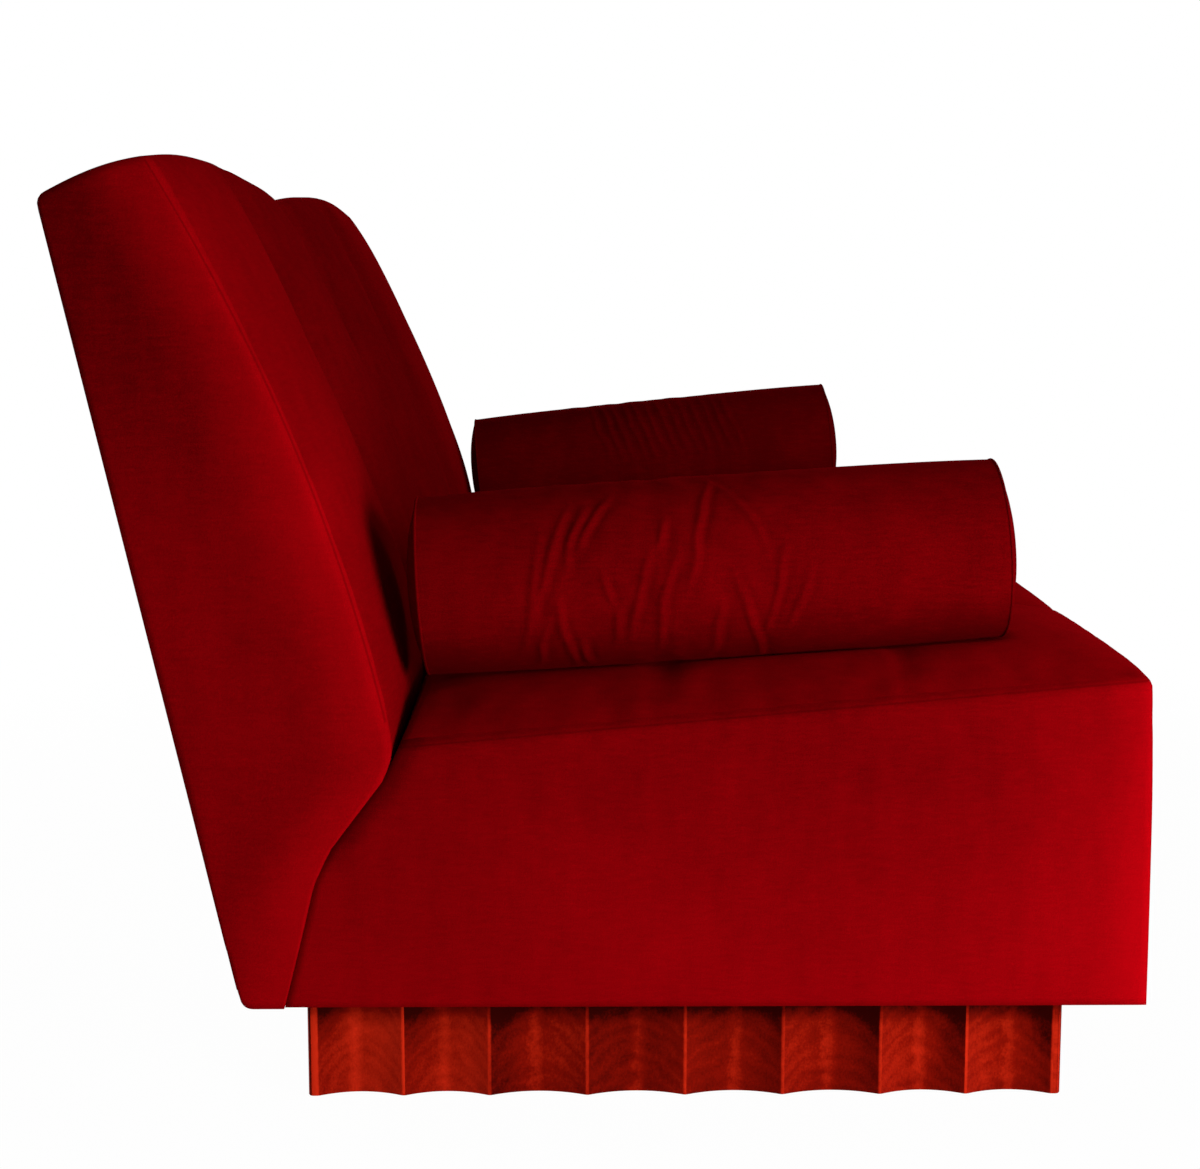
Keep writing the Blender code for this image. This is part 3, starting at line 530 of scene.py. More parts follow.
def seatSeamsAndPaintedLight(cloth, spot):
    x, y, z = cloth.split(spot)
    slope = (seatSet["seamRear"] - seatSet["seamFront"]) / seatDeep
    seam = (y + seatSet["front"]) * slope + seatSet["seamFront"]
    panel = 2 * seatSet["half"] / seatSet["columns"]
    row = seatDeep / seatSet["rows"]
    offTop = (z - seam).below(-0.001)
    atEnd = abs(x).above(seatSet["half"] - seatSet["endBand"])
    columns = nearest([abs(x - panel * step) for step in (-1, 0, 1)]) + offTop
    rows = nearest([abs(y + (seatSet["front"] - row * step)) for step in (1, 2)]) + offTop
    ends = abs(z - seam) + (1.0 - atEnd)
    fronts = abs(z - seam) + y.above(seatSet["endBand"] - seatSet["front"])
    # painted shadow on the end panel along the joint with the back; painted light: the end panel lighter
    # towards its foot and its front edge, the whole cover lighter towards the front
    jointShadow = (lineOf(joinLine, z) - y).ease(seatSet["jointShadowReach"], 0.0) * z.ease(*seatSet["jointShadowRise"])
    paintedLight = z.ease(*seatSet["footReach"]) * seatSet["paintedFootLight"] - 0.10
    paintedLight = paintedLight + y.ease(*seatSet["edgeReach"]) * seatSet["paintedEdgeLight"] - jointShadow * seatSet["jointShadowDark"]
    paintedLight = paintedLight * atEnd + y.ease(*seatSet["frontReach"]) * seatSet["paintedFrontLight"]
    return nearest([columns, ends, fronts]), rows, paintedLight


def shapedBlock(cells, place, pin=None, crease=None, cornerRows=()):
    # The creases keep the block's edges square and the joint's corners sharp in the subdivision
    bm = cutBlock(cells)
    tip = bm.verts.layers.float.new("crease_vert")
    layer = bm.edges.layers.float.new("crease_edge")
    for edge in bm.edges:
        first, second = (vert.co for vert in edge.verts)
        level = [axis for axis in range(3) if first[axis] == second[axis]]
        outer = [axis for axis in level if abs(first[axis] - 0.5) > 0.499]
        if len(outer) == 2:
            edge[layer] = crease(*((first + second) / 2)) if crease else 0.7
    pins = []
    for vert in bm.verts:
        share = tuple(vert.co)
        pins.append(pin(*share) if pin else 0.0)
        if share[1] > 0.999 and round(share[2] * cells[2]) in cornerRows:
            vert[tip] = 1.0
        vert.co = place(*share)
    return bm, pins


block, pins = shapedBlock(seatSet["cells"], seatPoint, seatPin, seatCrease, seatSet["cornerRows"])
seatVelvet = velvet("seatVelvet", seatSeamsAndPaintedLight, seatSet["level"], seatSet["seamShow"])
seatPiece = makePiece("seatUpholstery", block, seatVelvet, "settee", ["seat_cover", "seat_foam"])
puff(seatPiece, pins, seatSet["push"], seatSet["cap"], seatSet["slack"])
print("seat made")


# Back, in its own frame: n is forward from the rear face, s is up along it

backSet = {
    "half": 0.875, "footY": 0.364, "footZ": 0.1209, "tilt": math.radians(12.48), "tall": 0.804,
    "top": 0.116, "belly": 0.2077, "bellyAt": 0.240, "arch": 0.0157, "archAt": 0.090,
    "topCrown": 0.016, "topDip": 0.009, "crown": 0.003, "topRoll": 0.060, "endRoll": 0.110, "tuft": 0.006,
    "dips": {-0.4375: (0.015, 0.042), 0.0: (0.020, 0.060), 0.4375: (0.015, 0.042)},  # place: depth, reach
    "dipWidth": 0.100, "lowSwell": 0.008, "lowAt": 0.36, "lowReach": 0.14,
    "columns": 4, "rows": 3, "cells": (112, 12, 53), "lowCells": 14, "cornerRows": (6, 8, 11),
    "rearN": 0.0043, "footRound": 0.011, "gap": 0.0002, "push": 2.0, "slack": 0.003, "cap": 0.012,
    "level": 0.34, "seamShow": 0.30, "endBand": 0.012,
    # painted light and shade of the back's velvet: lighter by the end seam, darker at the top and in the
    # middle
    "seamReach": 0.09, "paintedSeamLight": 0.32, "topReach": (0.35, 0.80), "paintedTopShade": 0.26, "paintedTopSeamLight": 0.12,
    "middle": (0.58, 0.48), "paintedMiddleShade": 0.14,
}
backPlace = (Matrix.Translation((0.0, backSet["footY"], backSet["footZ"]))
             @ Matrix.Rotation(-backSet["tilt"], 4, "X"))


def backLocal(y, z):
    point = backPlace.inverted() @ Vector((0.0, y, z))
    return -point.y, point.z


joinBack = [backLocal(y + backSet["gap"], z) for y, z in joinLine]
seatLevel = joinBack[-1][1]
footN = joinBack[0][0]
backRows = [0, *backSet["cornerRows"], backSet["lowCells"], backSet["cells"][2]]
backHeights = [0.0, *(backLocal(y, z)[1] for y, z in joinCorners), seatLevel, backSet["tall"]]


def backProfile(s):
    up = max(s - backSet["bellyAt"], 0.0) / (backSet["tall"] - backSet["bellyAt"])
    return mixed(backSet["belly"], backSet["top"], up ** 2)


def backDip(x):
    return sum(deep * math.exp(-((x - at) / wide) ** 2) for at, (deep, wide) in backSet["dips"].items())


def backFront(u, s):
    x = (2 * u - 1) * backSet["half"]
    share = max((s - seatLevel) / (backSet["tall"] - seatLevel), 0.0)
    shoulder = rolled(backSet["tall"] - s, backSet["topRoll"])
    rise = backSet["crown"] * rolled(backSet["half"] - abs(x), backSet["endRoll"]) * shoulder
    rows = 0.6 + 0.4 * swell(share, backSet["rows"])
    rise += backSet["tuft"] * swell(u, backSet["columns"]) * rows * shoulder
    low = math.exp(-((s - backSet["lowAt"]) / backSet["lowReach"]) ** 2)
    rise += backSet["lowSwell"] * low * rolled(backSet["half"] - abs(x), backSet["endRoll"])
    full = backProfile(s) + rise - backDip(x) * shoulder
    return full if s > seatLevel + 0.0005 else min(full, lineAt(joinBack, s))


def backHeight(w):  # from a share of the cells to a height along the rear face
    return lineAt(list(zip(backHeights, backRows)), w * backSet["cells"][2])


def backPoint(u, v, w):
    x = (2 * u - 1) * backSet["half"]
    s = backHeight(w)
    n = mixed(backSet["rearN"], backFront(u, s), v)
    atTop = max(s - backSet["bellyAt"], 0.0) / (backSet["tall"] - backSet["bellyAt"])
    crown = backSet["topCrown"] * math.sin(math.pi * (abs(x) / backSet["half"]) ** 1.5)
    crown = (crown - backSet["topDip"] * math.exp(-(x / backSet["dipWidth"]) ** 2)) * v
    arch = backSet["arch"] * math.sin(math.pi / 2 * n / backSet["archAt"])
    height = s + (crown + arch) * atTop ** 3
    lowest = joinBack[1][1]
    if s < lowest:  # the foot is level, so it slants in this frame
        footAt = mixed(backSet["rearN"], footN, v)
        ease = s / lowest
        n = mixed(footAt, mixed(backSet["rearN"], lineAt(joinBack, lowest), v), ease)
        short = max(backSet["footRound"] - (footAt - backSet["rearN"]), 0.0)
        lift = backSet["footRound"] - math.sqrt(backSet["footRound"] ** 2 - short ** 2)
        height = mixed(lift - footAt * math.tan(backSet["tilt"]), lowest, ease)
    return backPlace @ Vector((x, -n, height))


def backPin(u, v, w):
    s = backHeight(w)
    atEnd = u < 0.001 or u > 0.999
    onTop = w > 0.999
    if v < 0.001 or w < 0.001 or (v > 0.999 and s < seatLevel + 0.001):
        return 1.0
    if v > 0.999 or onTop:
        share = (s - seatLevel) / (backSet["tall"] - seatLevel)
        if onSeam(u, backSet["columns"]):
            return 0.85 if onTop else 1.0
        if v > 0.999 and onSeam(share, backSet["rows"]) and share < 0.99:
            return 0.15
        return 0.85 if onTop else 0.0
    return 0.7 if atEnd else 0.0


def backCrease(u, v, w):
    if v < 0.001:
        return 0.5 if 0.05 < w < 0.999 else 0.0
    return 1.0 if w < 0.001 or (v > 0.999 and backHeight(w) < seatLevel) else 0.0


def backSeamsAndPaintedLight(cloth, spot):
    x, y, z = cloth.split(spot)
    sine, cosine = math.sin(backSet["tilt"]), math.cos(backSet["tilt"])
    s = (y - backSet["footY"]) * sine + (z - backSet["footZ"]) * cosine
    n = (z - backSet["footZ"]) * sine - (y - backSet["footY"]) * cosine
    up = (s - backSet["bellyAt"]).most(0.0) / (backSet["tall"] - backSet["bellyAt"])
    profile = up * up * (backSet["top"] - backSet["belly"]) + backSet["belly"]
    panel = 2 * backSet["half"] / backSet["columns"]
    row = (backSet["tall"] - seatLevel) / backSet["rows"]
    atEnd = abs(x).above(backSet["half"] - backSet["endBand"])
    columns = nearest([abs(x - panel * step) for step in (-1, 0, 1)]) + n.below(backSet["endBand"])
    rows = nearest([abs(s - (seatLevel + row * step)) for step in (1, 2)]) + (n - profile).below(-0.02)
    rows = rows + abs(x).above(backSet["half"] - 0.002)
    ends = abs(n - profile) + (1.0 - atEnd) + s.below(seatLevel) + s.above(backSet["tall"] + 0.010)
    # painted light: the end panel lighter close to its seam; painted shade: its top darker, less so by the
    # seam, and the middle of the back darker
    inner = (profile.least(lineOf(joinBack, s)) - n).ease(backSet["seamReach"], 0.0)
    backTopShade = s.ease(*backSet["topReach"]) * (backSet["paintedTopShade"] - inner * backSet["paintedTopSeamLight"])
    paintedLight = (inner * backSet["paintedSeamLight"] - backTopShade - 0.06) * atEnd
    paintedLight = paintedLight - abs(x).ease(*backSet["middle"]) * backSet["paintedMiddleShade"]
    return nearest([columns, ends]), rows, paintedLight


block, pins = shapedBlock(backSet["cells"], backPoint, backPin, backCrease, backSet["cornerRows"])
backVelvet = velvet("backVelvet", backSeamsAndPaintedLight, backSet["level"], backSet["seamShow"])
backPiece = makePiece("backUpholstery", block, backVelvet, "settee", ["back_cover", "back_foam"])
puff(backPiece, pins, backSet["push"], backSet["cap"], backSet["slack"])
print("back made")


# Outer panel at the rear of the back: a covered board, set in from the back's edges

panelSet = {
    "inset": 0.008, "foot": 0.016, "thick": 0.004, "edge": 0.0010, "swell": 0.0025, "cells": (60, 2, 28),
}


def panelPoint(u, v, w):
    x = (2 * u - 1) * (backSet["half"] - panelSet["inset"])
    s = mixed(panelSet["foot"], backSet["tall"] - panelSet["inset"], w)
    full = (1 - (2 * u - 1) ** 8) * (1 - (2 * w - 1) ** 8)
    rear = mixed(panelSet["thick"] - panelSet["edge"], -panelSet["swell"], full)
    return backPlace @ Vector((x, -mixed(rear, panelSet["thick"], v), s))


block = shapedBlock(panelSet["cells"], panelPoint)[0]
outerPanel = makePiece("backOuterPanel", block, velvet("panelVelvet"), "settee", ["back_outer_panel"])
finer(outerPanel)
print("outer panel made")


# Bolsters, made upright about Z and then laid down

bolsterSet = {
    "radius": 0.0935, "length": 0.586, "draw": 0.003, "dome": 0.015,
    "tilt": {"right": math.radians(3.8), "left": math.radians(5.8)},
    "around": 128, "along": 140, "push": 3.0, "cap": 0.006,
    "slack": 0.03, "slackAt": 0.44, "slackReach": 0.20, "ripple": 0.020, "seed": {"right": 3.7, "left": 9.1},
    "welt": 0.0015, "rim": 0.0898, "domeCurve": 2.4,
    "foldWidth": 0.0040, "foldDepth": 0.0023, "foldWander": 0.004,
    "room": 0.0022,        # between a bolster and the pads that it presses
    # painted shade: the left bolster's tone is set darker as a whole than the right's, and both are darker on
    # their lower side
    "level": {"right": 0.11, "left": 0.02}, "lowReach": (-0.02, -0.09), "paintedLowShade": 0.14,
}
# Folds of each cover as lines of points: share of the length from the rear, share of the radius up
bolsterFolds = {
    "right": [
        [(0.21, 0.55), (0.19, -0.11), (0.17, -0.66)],
        [(0.26, 0.82), (0.23, 0.37), (0.20, -0.12), (0.19, -0.58)],
        [(0.29, 0.79), (0.26, 0.45), (0.25, 0.18)], [(0.33, 0.86), (0.29, 0.58), (0.27, 0.36)],
        [(0.24, -0.11), (0.24, -0.46), (0.26, -0.93)], [(0.21, -0.31), (0.20, -0.58), (0.20, -0.86)],
        [(0.31, 0.15), (0.33, -0.22)], [(0.40, 0.39), (0.38, 0.03), (0.36, -0.37), (0.35, -0.60)],
        [(0.42, 0.64), (0.41, 0.30)], [(0.50, 0.95), (0.48, 0.59), (0.47, 0.23), (0.45, -0.14)],
        [(0.50, 0.95), (0.55, 0.77), (0.58, 0.48), (0.59, 0.27)],
        [(0.44, 0.33), (0.41, -0.21), (0.40, -0.76)],
        [(0.62, 0.30), (0.61, -0.06), (0.59, -0.43), (0.58, -0.66)],
        [(0.66, 0.10), (0.65, -0.22), (0.62, -0.58)],
        [(0.53, 0.06), (0.55, -0.36), (0.57, -0.74), (0.58, -0.95)],
        [(0.51, -0.21), (0.50, -0.53), (0.49, -0.85)],
        [(0.27, -0.61), (0.28, -0.89)], [(0.34, -0.18), (0.33, -0.64)],
    ],
    "left": [[(at - 0.02, 0.97), (at, 0.60), (at + 0.03, 0.05)]
             for at in (0.35 + 0.031 * step for step in range(13))],
}


def bolsterPlace(side):
    low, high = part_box("bolster_cover_" + side)
    return (Matrix.Translation((low + high) / 2)
            @ Matrix.Rotation(math.pi / 2 - bolsterSet["tilt"][side], 4, "X"))


def bolsterPaintedShade(side):
    def plan(cloth, spot):
        y, z = cloth.split(spot)[1:]
        middle = bolsterPlace(side).translation
        # painted shade: the lower side of the bolster is darker
        above = z - middle.z + (y - middle.y) * math.tan(bolsterSet["tilt"][side])
        return None, None, above.ease(*bolsterSet["lowReach"]) * -bolsterSet["paintedLowShade"]
    return plan


bolsterVelvet = {side: velvet("bolsterVelvet_" + side, bolsterPaintedShade(side), level)
                 for side, level in bolsterSet["level"].items()}


def foldHeight(along, around, fold):
    # Height of one fold above the cover: a crest with a hollow beside it, fading at both ends
    points = [Vector((at * bolsterSet["length"], math.asin(up) * bolsterSet["radius"])) for at, up in fold]
    stir = noise.noise((along * 28.0, around * 28.0, points[0].x * 60.0))
    spot = Vector((along + bolsterSet["foldWander"] * stir, around))
    total = sum((second - first).length for first, second in zip(points, points[1:]))
    gone = 0.0
    best = None
    for first, second in zip(points, points[1:]):
        run = second - first
        share = min(max((spot - first).dot(run) / run.length_squared, 0.0), 1.0)
        away = spot - first - run * share
        side = math.copysign(away.length, run.x * away.y - run.y * away.x)
        if best is None or abs(side) < abs(best[0]):
            best = (side, (gone + share * run.length) / total)
        gone += run.length
    side, share = best
    if abs(side) > 5 * bolsterSet["foldWidth"]:
        return 0.0
    wide = side / bolsterSet["foldWidth"]
    return math.sin(math.pi * min(max(share, 0.04), 0.96)) ** 0.6 * (
        math.exp(-wide ** 2) - 0.6 * math.exp(-((wide - 1.8) / 1.2) ** 2))


def bolsterBody(side):
    half = bolsterSet["length"] / 2
    bm = bmesh.new()
    bmesh.ops.create_cone(bm, cap_ends=False, segments=bolsterSet["around"], radius1=bolsterSet["radius"],
                          radius2=bolsterSet["radius"], depth=bolsterSet["length"])
    lengths = [edge for edge in bm.edges if abs(edge.verts[0].co.z - edge.verts[1].co.z) > 1e-6]
    bmesh.ops.subdivide_edges(bm, edges=lengths, cuts=bolsterSet["along"] - 1, use_grid_fill=True)
    pins = []
    looser = []
    seed = bolsterSet["seed"][side]
    for vert in bm.verts:
        share = vert.co.z / half
        drawn = 1.0 - bolsterSet["draw"] * abs(share) ** 4 / bolsterSet["radius"]
        pins.append(1.0 if abs(share) > 0.995 else 0.0)
        at = (share + 1) / 2
        turn = math.atan2(vert.co.y, vert.co.x)
        sine, cosine = math.sin(turn), math.cos(turn)
        stir = noise.noise((at * 26.0 + sine * 2.0, cosine * 2.2, sine * 2.2 + seed))
        loose = math.exp(-((at - bolsterSet["slackAt"]) / bolsterSet["slackReach"]) ** 2)
        scale = drawn * (1.0 + stir * loose * bolsterSet["ripple"])
        vert.co.x *= scale
        vert.co.y *= scale
        spare = math.erf((at - bolsterSet["slackAt"]) / bolsterSet["slackReach"]) * bolsterSet["slackReach"]
        extra = bolsterSet["slack"] * spare * math.sqrt(math.pi) / 2 * bolsterSet["length"]
        looser.append(Vector((vert.co.x, vert.co.y, vert.co.z + extra)))
    nodes = ["bolster_cover_" + side, "bolster_core_" + side]
    piece = makePiece("bolsterBody_" + side, bm, bolsterVelvet[side], "bolster_" + side, nodes)
    puff(piece, pins, bolsterSet["push"], bolsterSet["cap"], restPoints=looser, frames=16)
    finer(piece)
    smooth = bpy.data.meshes.new_from_object(piece.evaluated_get(bpy.context.evaluated_depsgraph_get()))
    piece.modifiers.clear()
    piece.data = smooth
    margin = 6 * bolsterSet["foldWidth"]
    for vert in smooth.vertices:
        out = math.hypot(vert.co.x, vert.co.y)
        along = vert.co.z + half
        around = math.atan2(vert.co.y, -vert.co.x) * bolsterSet["radius"]
        folded = 0.0
        for fold in bolsterFolds[side]:
            ends = [point[0] * bolsterSet["length"] for point in fold]
            if min(ends) - margin < along < max(ends) + margin:
                folded += foldHeight(along, around, fold)
        scale = 1.0 + bolsterSet["foldDepth"] * folded / out
        vert.co.x *= scale
        vert.co.y *= scale
    smooth.transform(bolsterPlace(side))


def bolsterEnd(side, end):
    half = bolsterSet["length"] / 2
    rim = bolsterSet["rim"]
    bead = bolsterSet["welt"]
    profile = [(rim - bead, -bead)]
    for step in range(7):  # the welt round the seam
        angle = math.radians(-110 + step * 40)
        profile.append((rim + bead * 0.2 + bead * math.cos(angle), bead * math.sin(angle)))
    for step in range(10):  # the domed panel
        share = 0.97 * (1 - step / 9)
        rise = bolsterSet["dome"] * (1 - share ** bolsterSet["domeCurve"])
        profile.append((rim * share, rise + bead * 0.2))
    bm = bmesh.new()
    points = [bm.verts.new((radius, 0.0, height + half)) for radius, height in profile]
    for first, second in zip(points, points[1:]):
        bm.edges.new((first, second))
    bmesh.ops.spin(bm, geom=bm.verts[:] + bm.edges[:], axis=(0, 0, 1), cent=(0, 0, 0), dvec=(0, 0, 0),
                   angle=2 * math.pi, steps=72, use_merge=True)
    bmesh.ops.remove_doubles(bm, verts=bm.verts, dist=1e-6)
    turn = Matrix.Rotation(math.pi, 4, "X") if end == "back" else Matrix.Identity(4)
    bmesh.ops.transform(bm, matrix=bolsterPlace(side) @ turn, verts=bm.verts)
    name = f"bolsterEnd_{end}_{side}"
    makePiece(name, bm, bolsterVelvet[side], "bolster_" + side, [f"bolster_end_{end}_{side}"])


def pressInto(piece, side):
    # The pad gives way where a bolster lies on it or leans on it
    inward = bolsterPlace(side).inverted()
    onward = bolsterPlace(side)
    room = bolsterSet["room"]
    half = bolsterSet["length"] / 2 + bolsterSet["dome"] + room
    reach = bolsterSet["radius"] + room
    for vert in piece.data.vertices:
        local = inward @ vert.co
        out = math.hypot(local.x, local.y)
        if out >= reach or abs(local.z) >= half:
            continue
        share = min(out / bolsterSet["rim"], 1.0)
        cap = bolsterSet["length"] / 2 + bolsterSet["dome"] * (1 - share ** bolsterSet["domeCurve"]) + room
        if abs(local.z) >= cap:
            continue
        if reach - out < cap - abs(local.z):
            local.x *= reach / out
            local.y *= reach / out
        else:
            local.z = math.copysign(cap, local.z)
        vert.co = onward @ local


for side in ("right", "left"):
    bolsterBody(side)
    for end in ("front", "back"):
        bolsterEnd(side, end)
    for pad in (seatPiece, backPiece):
        pressInto(pad, side)
finer(seatPiece)
finer(backPiece)
print("bolsters made")


# Plinth

plinthSet = {
    "end": 0.805, "front": -0.465, "rear": 0.304, "foot": 0.0043, "height": 0.115, "thick": 0.026,
    "flute": 0.011, "ridge": 0.006, "narrow": 0.0880, "wide": 0.0980, "strip": 0.009, "corner": 0.004,
    "turnAt": (0.0012, 0.0016), "stripEnd": 0.008,   # points of the rounded corner and of the flat strip
    "ridgeDrop": 0.0002, "fluteDrop": 0.0009,        # below the strip
    "steps": 16, "edge": 0.0012, "gap": 0.0003,
}


def flutedLine(length):
    # Places along a board with the depth there, and the pitches of its flutes
    span = length - 2 * plinthSet["strip"]
    count = round((span - 4 * plinthSet["narrow"]) / plinthSet["wide"])
    wide = (span - 4 * plinthSet["narrow"]) / count
    pitches = [plinthSet["narrow"]] * 2 + [wide] * count + [plinthSet["narrow"]] * 2
    corner = plinthSet["corner"]
    line = [(0.0, corner), plinthSet["turnAt"], (corner, 0.0), (plinthSet["stripEnd"], 0.0)]
    start = plinthSet["strip"]
    half = plinthSet["ridge"] / 2
    for pitch in pitches:
        line.append((start + half * 0.4, plinthSet["ridgeDrop"]))
        for step in range(plinthSet["steps"] + 1):
            share = step / plinthSet["steps"]
            depth = plinthSet["flute"] * (1 - (2 * share - 1) ** 2) + plinthSet["fluteDrop"]
            line.append((start + half + (pitch - 2 * half) * share, depth))
        start += pitch
        line.append((start - half * 0.4, plinthSet["ridgeDrop"]))
    end = [(length - place, depth) for place, depth in reversed(line[:4])]
    return line + end, pitches


def plinthBoard(name, length, centre, angle, node):
    line, pitches = flutedLine(length)
    bm = bmesh.new()
    bmesh.ops.create_grid(bm, x_segments=len(line) - 1, y_segments=4, size=0.5)
    for vert in bm.verts:
        place, depth = line[round((vert.co.x + 0.5) * (len(line) - 1))]
        vert.co = (place - length / 2, depth, plinthSet["foot"] + plinthSet["height"] * (vert.co.y + 0.5))
    made = bmesh.ops.extrude_face_region(bm, geom=bm.faces[:])["geom"]
    inner = length / 2 - plinthSet["thick"] - plinthSet["gap"]
    for vert in [part for part in made if isinstance(part, bmesh.types.BMVert)]:
        vert.co.x *= inner / (length / 2)
        vert.co.y = plinthSet["thick"]
    bmesh.ops.recalc_face_normals(bm, faces=bm.faces)
    paired = [edge for edge in bm.edges if len(edge.link_faces) == 2]
    sharp = [edge for edge in paired if edge.calc_face_angle() > math.radians(60)]
    bmesh.ops.bevel(bm, geom=sharp, offset=plinthSet["edge"], segments=2, profile=0.5, affect="EDGES",
                    material=-1)
    layer = bm.loops.layers.uv.new("flutes")
    starts = [plinthSet["strip"] - length / 2]
    for pitch in pitches:
        starts.append(starts[-1] + pitch)
    for face in bm.faces:
        middle = face.calc_center_median().x
        number = sum(1 for start in starts if start < middle)
        low = starts[number - 1] if number else -length / 2
        high = starts[number] if number < len(starts) else length / 2
        for loop in face.loops:
            share = min(max((loop.vert.co.x - low) / (high - low), 0.0), 1.0)
            if number in (0, len(starts)):  # the strip at a corner looks like a ridge that turns away
                share = 1.0 - 0.06 * (share if number else 1.0 - share) ** 3
            loop[layer].uv = (number + 0.01 + 0.98 * share, loop.vert.co.z)
    turned = Matrix.Translation((*centre, 0.0)) @ Matrix.Rotation(angle, 4, "Z")
    bmesh.ops.transform(bm, matrix=turned, verts=bm.verts)
    piece = makePiece(name, bm, plinthWood, "settee", [node])
    piece.data.set_sharp_from_angle(angle=math.radians(34))


plinthWood = mahogany("plinthMahogany")
plinthLong = 2 * plinthSet["end"]
plinthShort = plinthSet["rear"] - plinthSet["front"]
plinthMiddle = (plinthSet["rear"] + plinthSet["front"]) / 2
leftEnd = (plinthSet["end"], plinthMiddle)
rightEnd = (-plinthSet["end"], plinthMiddle)
plinthBoard("plinthFront", plinthLong, (0.0, plinthSet["front"]), 0.0, "plinth_front")
plinthBoard("plinthBack", plinthLong, (0.0, plinthSet["rear"]), math.pi, "plinth_back")
plinthBoard("plinthEndLeft", plinthShort, leftEnd, math.pi / 2, "plinth_end_left")
plinthBoard("plinthEndRight", plinthShort, rightEnd, -math.pi / 2, "plinth_end_right")
print("plinth made")


# Cloth under the seat

clothSet = {"ripple": 0.0003, "cells": (88, 41, 1)}
clothLow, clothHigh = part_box("dust_cloth")


def clothPoint(u, v, w):
    spot = Vector((mixed(clothLow.x, clothHigh.x, u), mixed(clothLow.y, clothHigh.y, v), 0.0))
    lift = clothSet["ripple"] * noise.noise(spot * 14.0)
    spot.z = mixed(clothLow.z, clothHigh.z - clothSet["ripple"], w) + abs(lift) * 0.5
    return spot


block = shapedBlock(clothSet["cells"], clothPoint)[0]
dustCloth = makePiece("dustCloth", block, lining("blackLining"), "settee", ["dust_cloth"])
print("lining made")


# Finishes of the pieces that keep their solid

keptFinishes = [
    (timber("planedTimber"),
     ("plinth_block", "plinth_bearer", "seat_rail", "seat_cross", "back_rail", "back_post")),
    (glidePlastic("darkGlide"), ("floor_glide",)),
    (zincSteel("zincBolt"), ("plinth_bolt", "back_bolt", "back_nut")),
    (webbing("wovenStrap"), ("seat_web", "back_web")),
]
for node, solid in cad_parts.items():
    for material, starts in keptFinishes:
        if node.startswith(starts):
            solid.data.materials.clear()
            solid.data.materials.append(material)
print("finishes given")


# Floor, light and camera

floorSet = {"size": 30.0, "white": 0.98, "fade": (1.1, 2.2)}


def glow(name, near, far):
    # A surface that is white to the eye and keeps a little of the settee's shadow near it
    finish = Finish(name, Base_Color=(0.86, 0.86, 0.86, 1.0), Roughness=0.9, Specular_IOR_Level=0.0)
    path = finish.tree.nodes.new("ShaderNodeLightPath")
    seen = Wire(finish, path.outputs["Is Camera Ray"]).most(Wire(finish, path.outputs["Is Glossy Ray"]))
    seen = seen.most(Wire(finish, path.outputs["Is Transmission Ray"]))
    white = finish.add("ShaderNodeEmission", None, {"Color": (1.0, 1.0, 1.0, 1.0), "Strength": 1.0})
    mixer = finish.tree.nodes.new("ShaderNodeMixShader")
    x, y = finish.split(finish.place())[:2]
    away = (x * x + y * y) ** 0.5
    share = away.ease(*far) * (1.0 - near) + near
    finish.tree.links.new((seen * share).socket, mixer.inputs[0])
    finish.tree.links.new(finish.shader.outputs[0], mixer.inputs[1])
    finish.tree.links.new(white.socket, mixer.inputs[2])
    finish.tree.links.new(mixer.outputs[0], finish.tree.nodes["Material Output"].inputs["Surface"])
    return finish.material


floorMesh = bmesh.new()
bmesh.ops.create_grid(floorMesh, x_segments=1, y_segments=1, size=floorSet["size"])
mesh = bpy.data.meshes.new("floor")
floorMesh.to_mesh(mesh)
floorMesh.free()
mesh.materials.append(glow("paleFloor", floorSet["white"], floorSet["fade"]))
floor = bpy.data.objects.new("floor", mesh)
scene.collection.objects.link(floor)

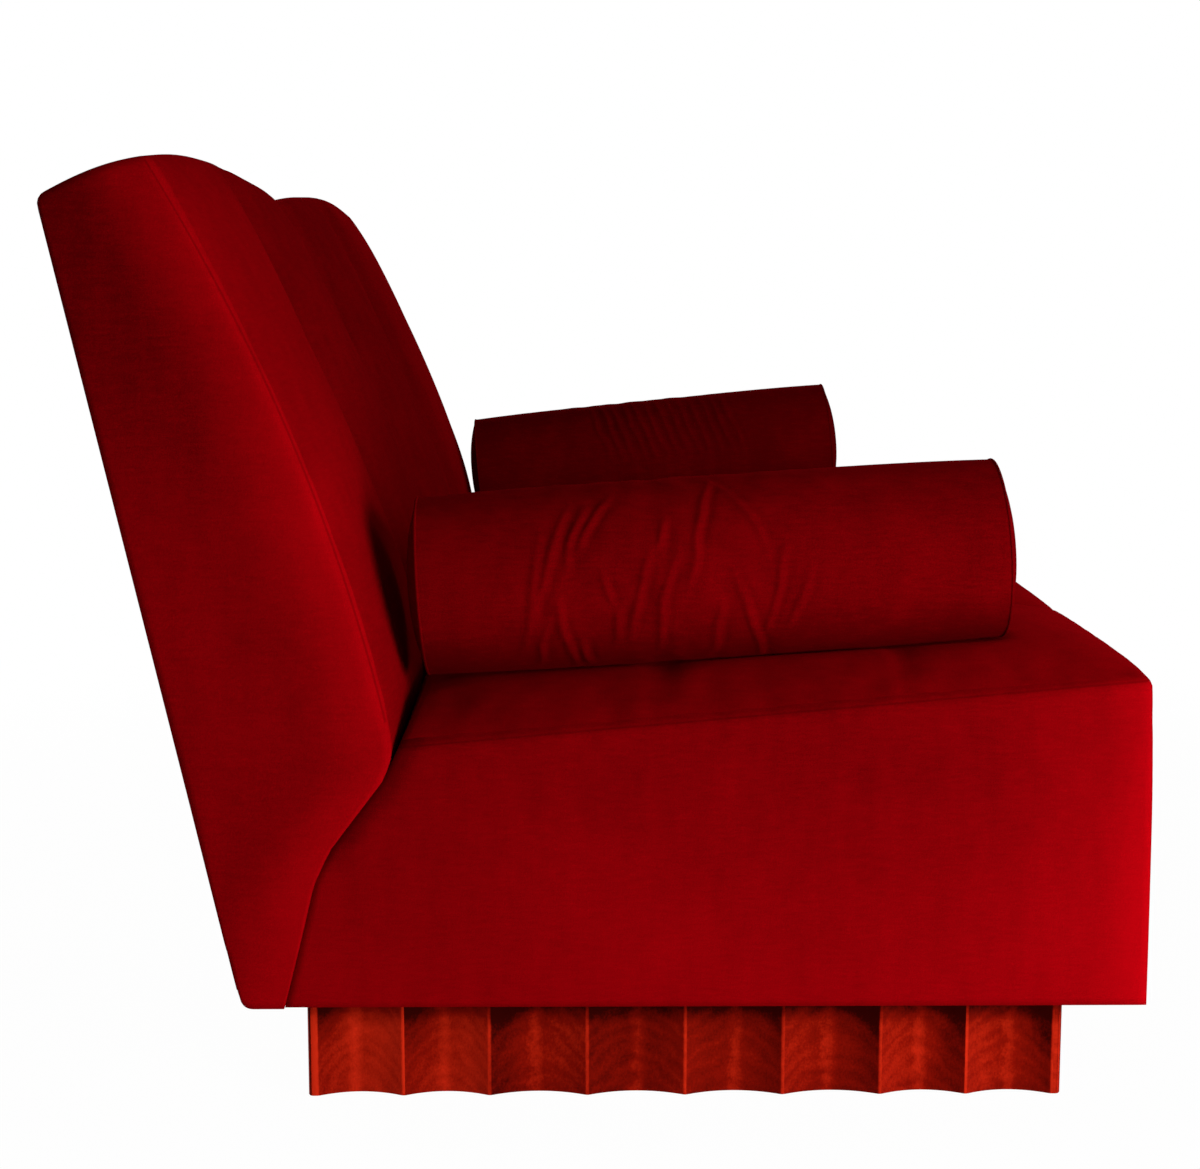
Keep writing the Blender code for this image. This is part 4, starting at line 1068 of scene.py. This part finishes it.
skySet = {"room": 0.10, "seen": 1.0}  # strength on the settee, and to the eye
world = bpy.data.worlds.new("studio")
scene.world = world
world.use_nodes = True
sky = world.node_tree.nodes["Background"]
links = world.node_tree.links
path = world.node_tree.nodes.new("ShaderNodeLightPath")
eye = world.node_tree.nodes.new("ShaderNodeMath")
eye.operation = "MAXIMUM"
links.new(path.outputs["Is Camera Ray"], eye.inputs[0])
links.new(path.outputs["Is Glossy Ray"], eye.inputs[1])
level = world.node_tree.nodes.new("ShaderNodeMapRange")
level.inputs["To Min"].default_value = skySet["room"]
level.inputs["To Max"].default_value = skySet["seen"]
links.new(eye.outputs[0], level.inputs["Value"])
links.new(level.outputs[0], sky.inputs["Strength"])
sky.inputs["Color"].default_value = (1.0, 1.0, 1.0, 1.0)

lampSet = {
    "key": {"place": (-2.5, -1.6, 0.80), "aim": (-0.6, 0.0, 0.45), "size": 1.2, "power": 64.0},
    "front": {"place": (0.4, -3.4, 2.0), "aim": (0.0, -0.2, 0.4), "size": 2.2, "power": 16.0},
    "rear": {"place": (0.6, 3.4, 2.0), "aim": (0.0, 0.4, 0.5), "size": 2.2, "power": 60.0},
    "left": {"place": (3.6, 0.6, 1.4), "aim": (0.8, 0.0, 0.45), "size": 1.2, "power": 60.0},
}
for name, lamp in lampSet.items():
    light = bpy.data.lights.new(name, "AREA")
    light.shape = "SQUARE"
    light.size = lamp["size"]
    light.energy = lamp["power"]
    stand = bpy.data.objects.new(name, light)
    stand.location = lamp["place"]
    aim = Vector(lamp["aim"]) - Vector(lamp["place"])
    stand.rotation_euler = aim.to_track_quat("-Z", "Y").to_euler()
    scene.collection.objects.link(stand)

cameraSet = {"place": (-2.915, 0.0251, 0.8255), "down": 7.925, "turn": 0.508, "lens": 64.63}
lens = bpy.data.cameras.new("photoView")
lens.sensor_fit = "HORIZONTAL"
lens.sensor_width = 36.0
lens.lens = cameraSet["lens"]
camera = bpy.data.objects.new("photoView", lens)
camera.location = cameraSet["place"]
tiltAngle = math.radians(90.0 - cameraSet["down"])
turnAngle = math.radians(-90.0 - cameraSet["turn"])
camera.rotation_euler = (tiltAngle, 0.0, turnAngle)
scene.collection.objects.link(camera)
scene.camera = camera
print("stage set")
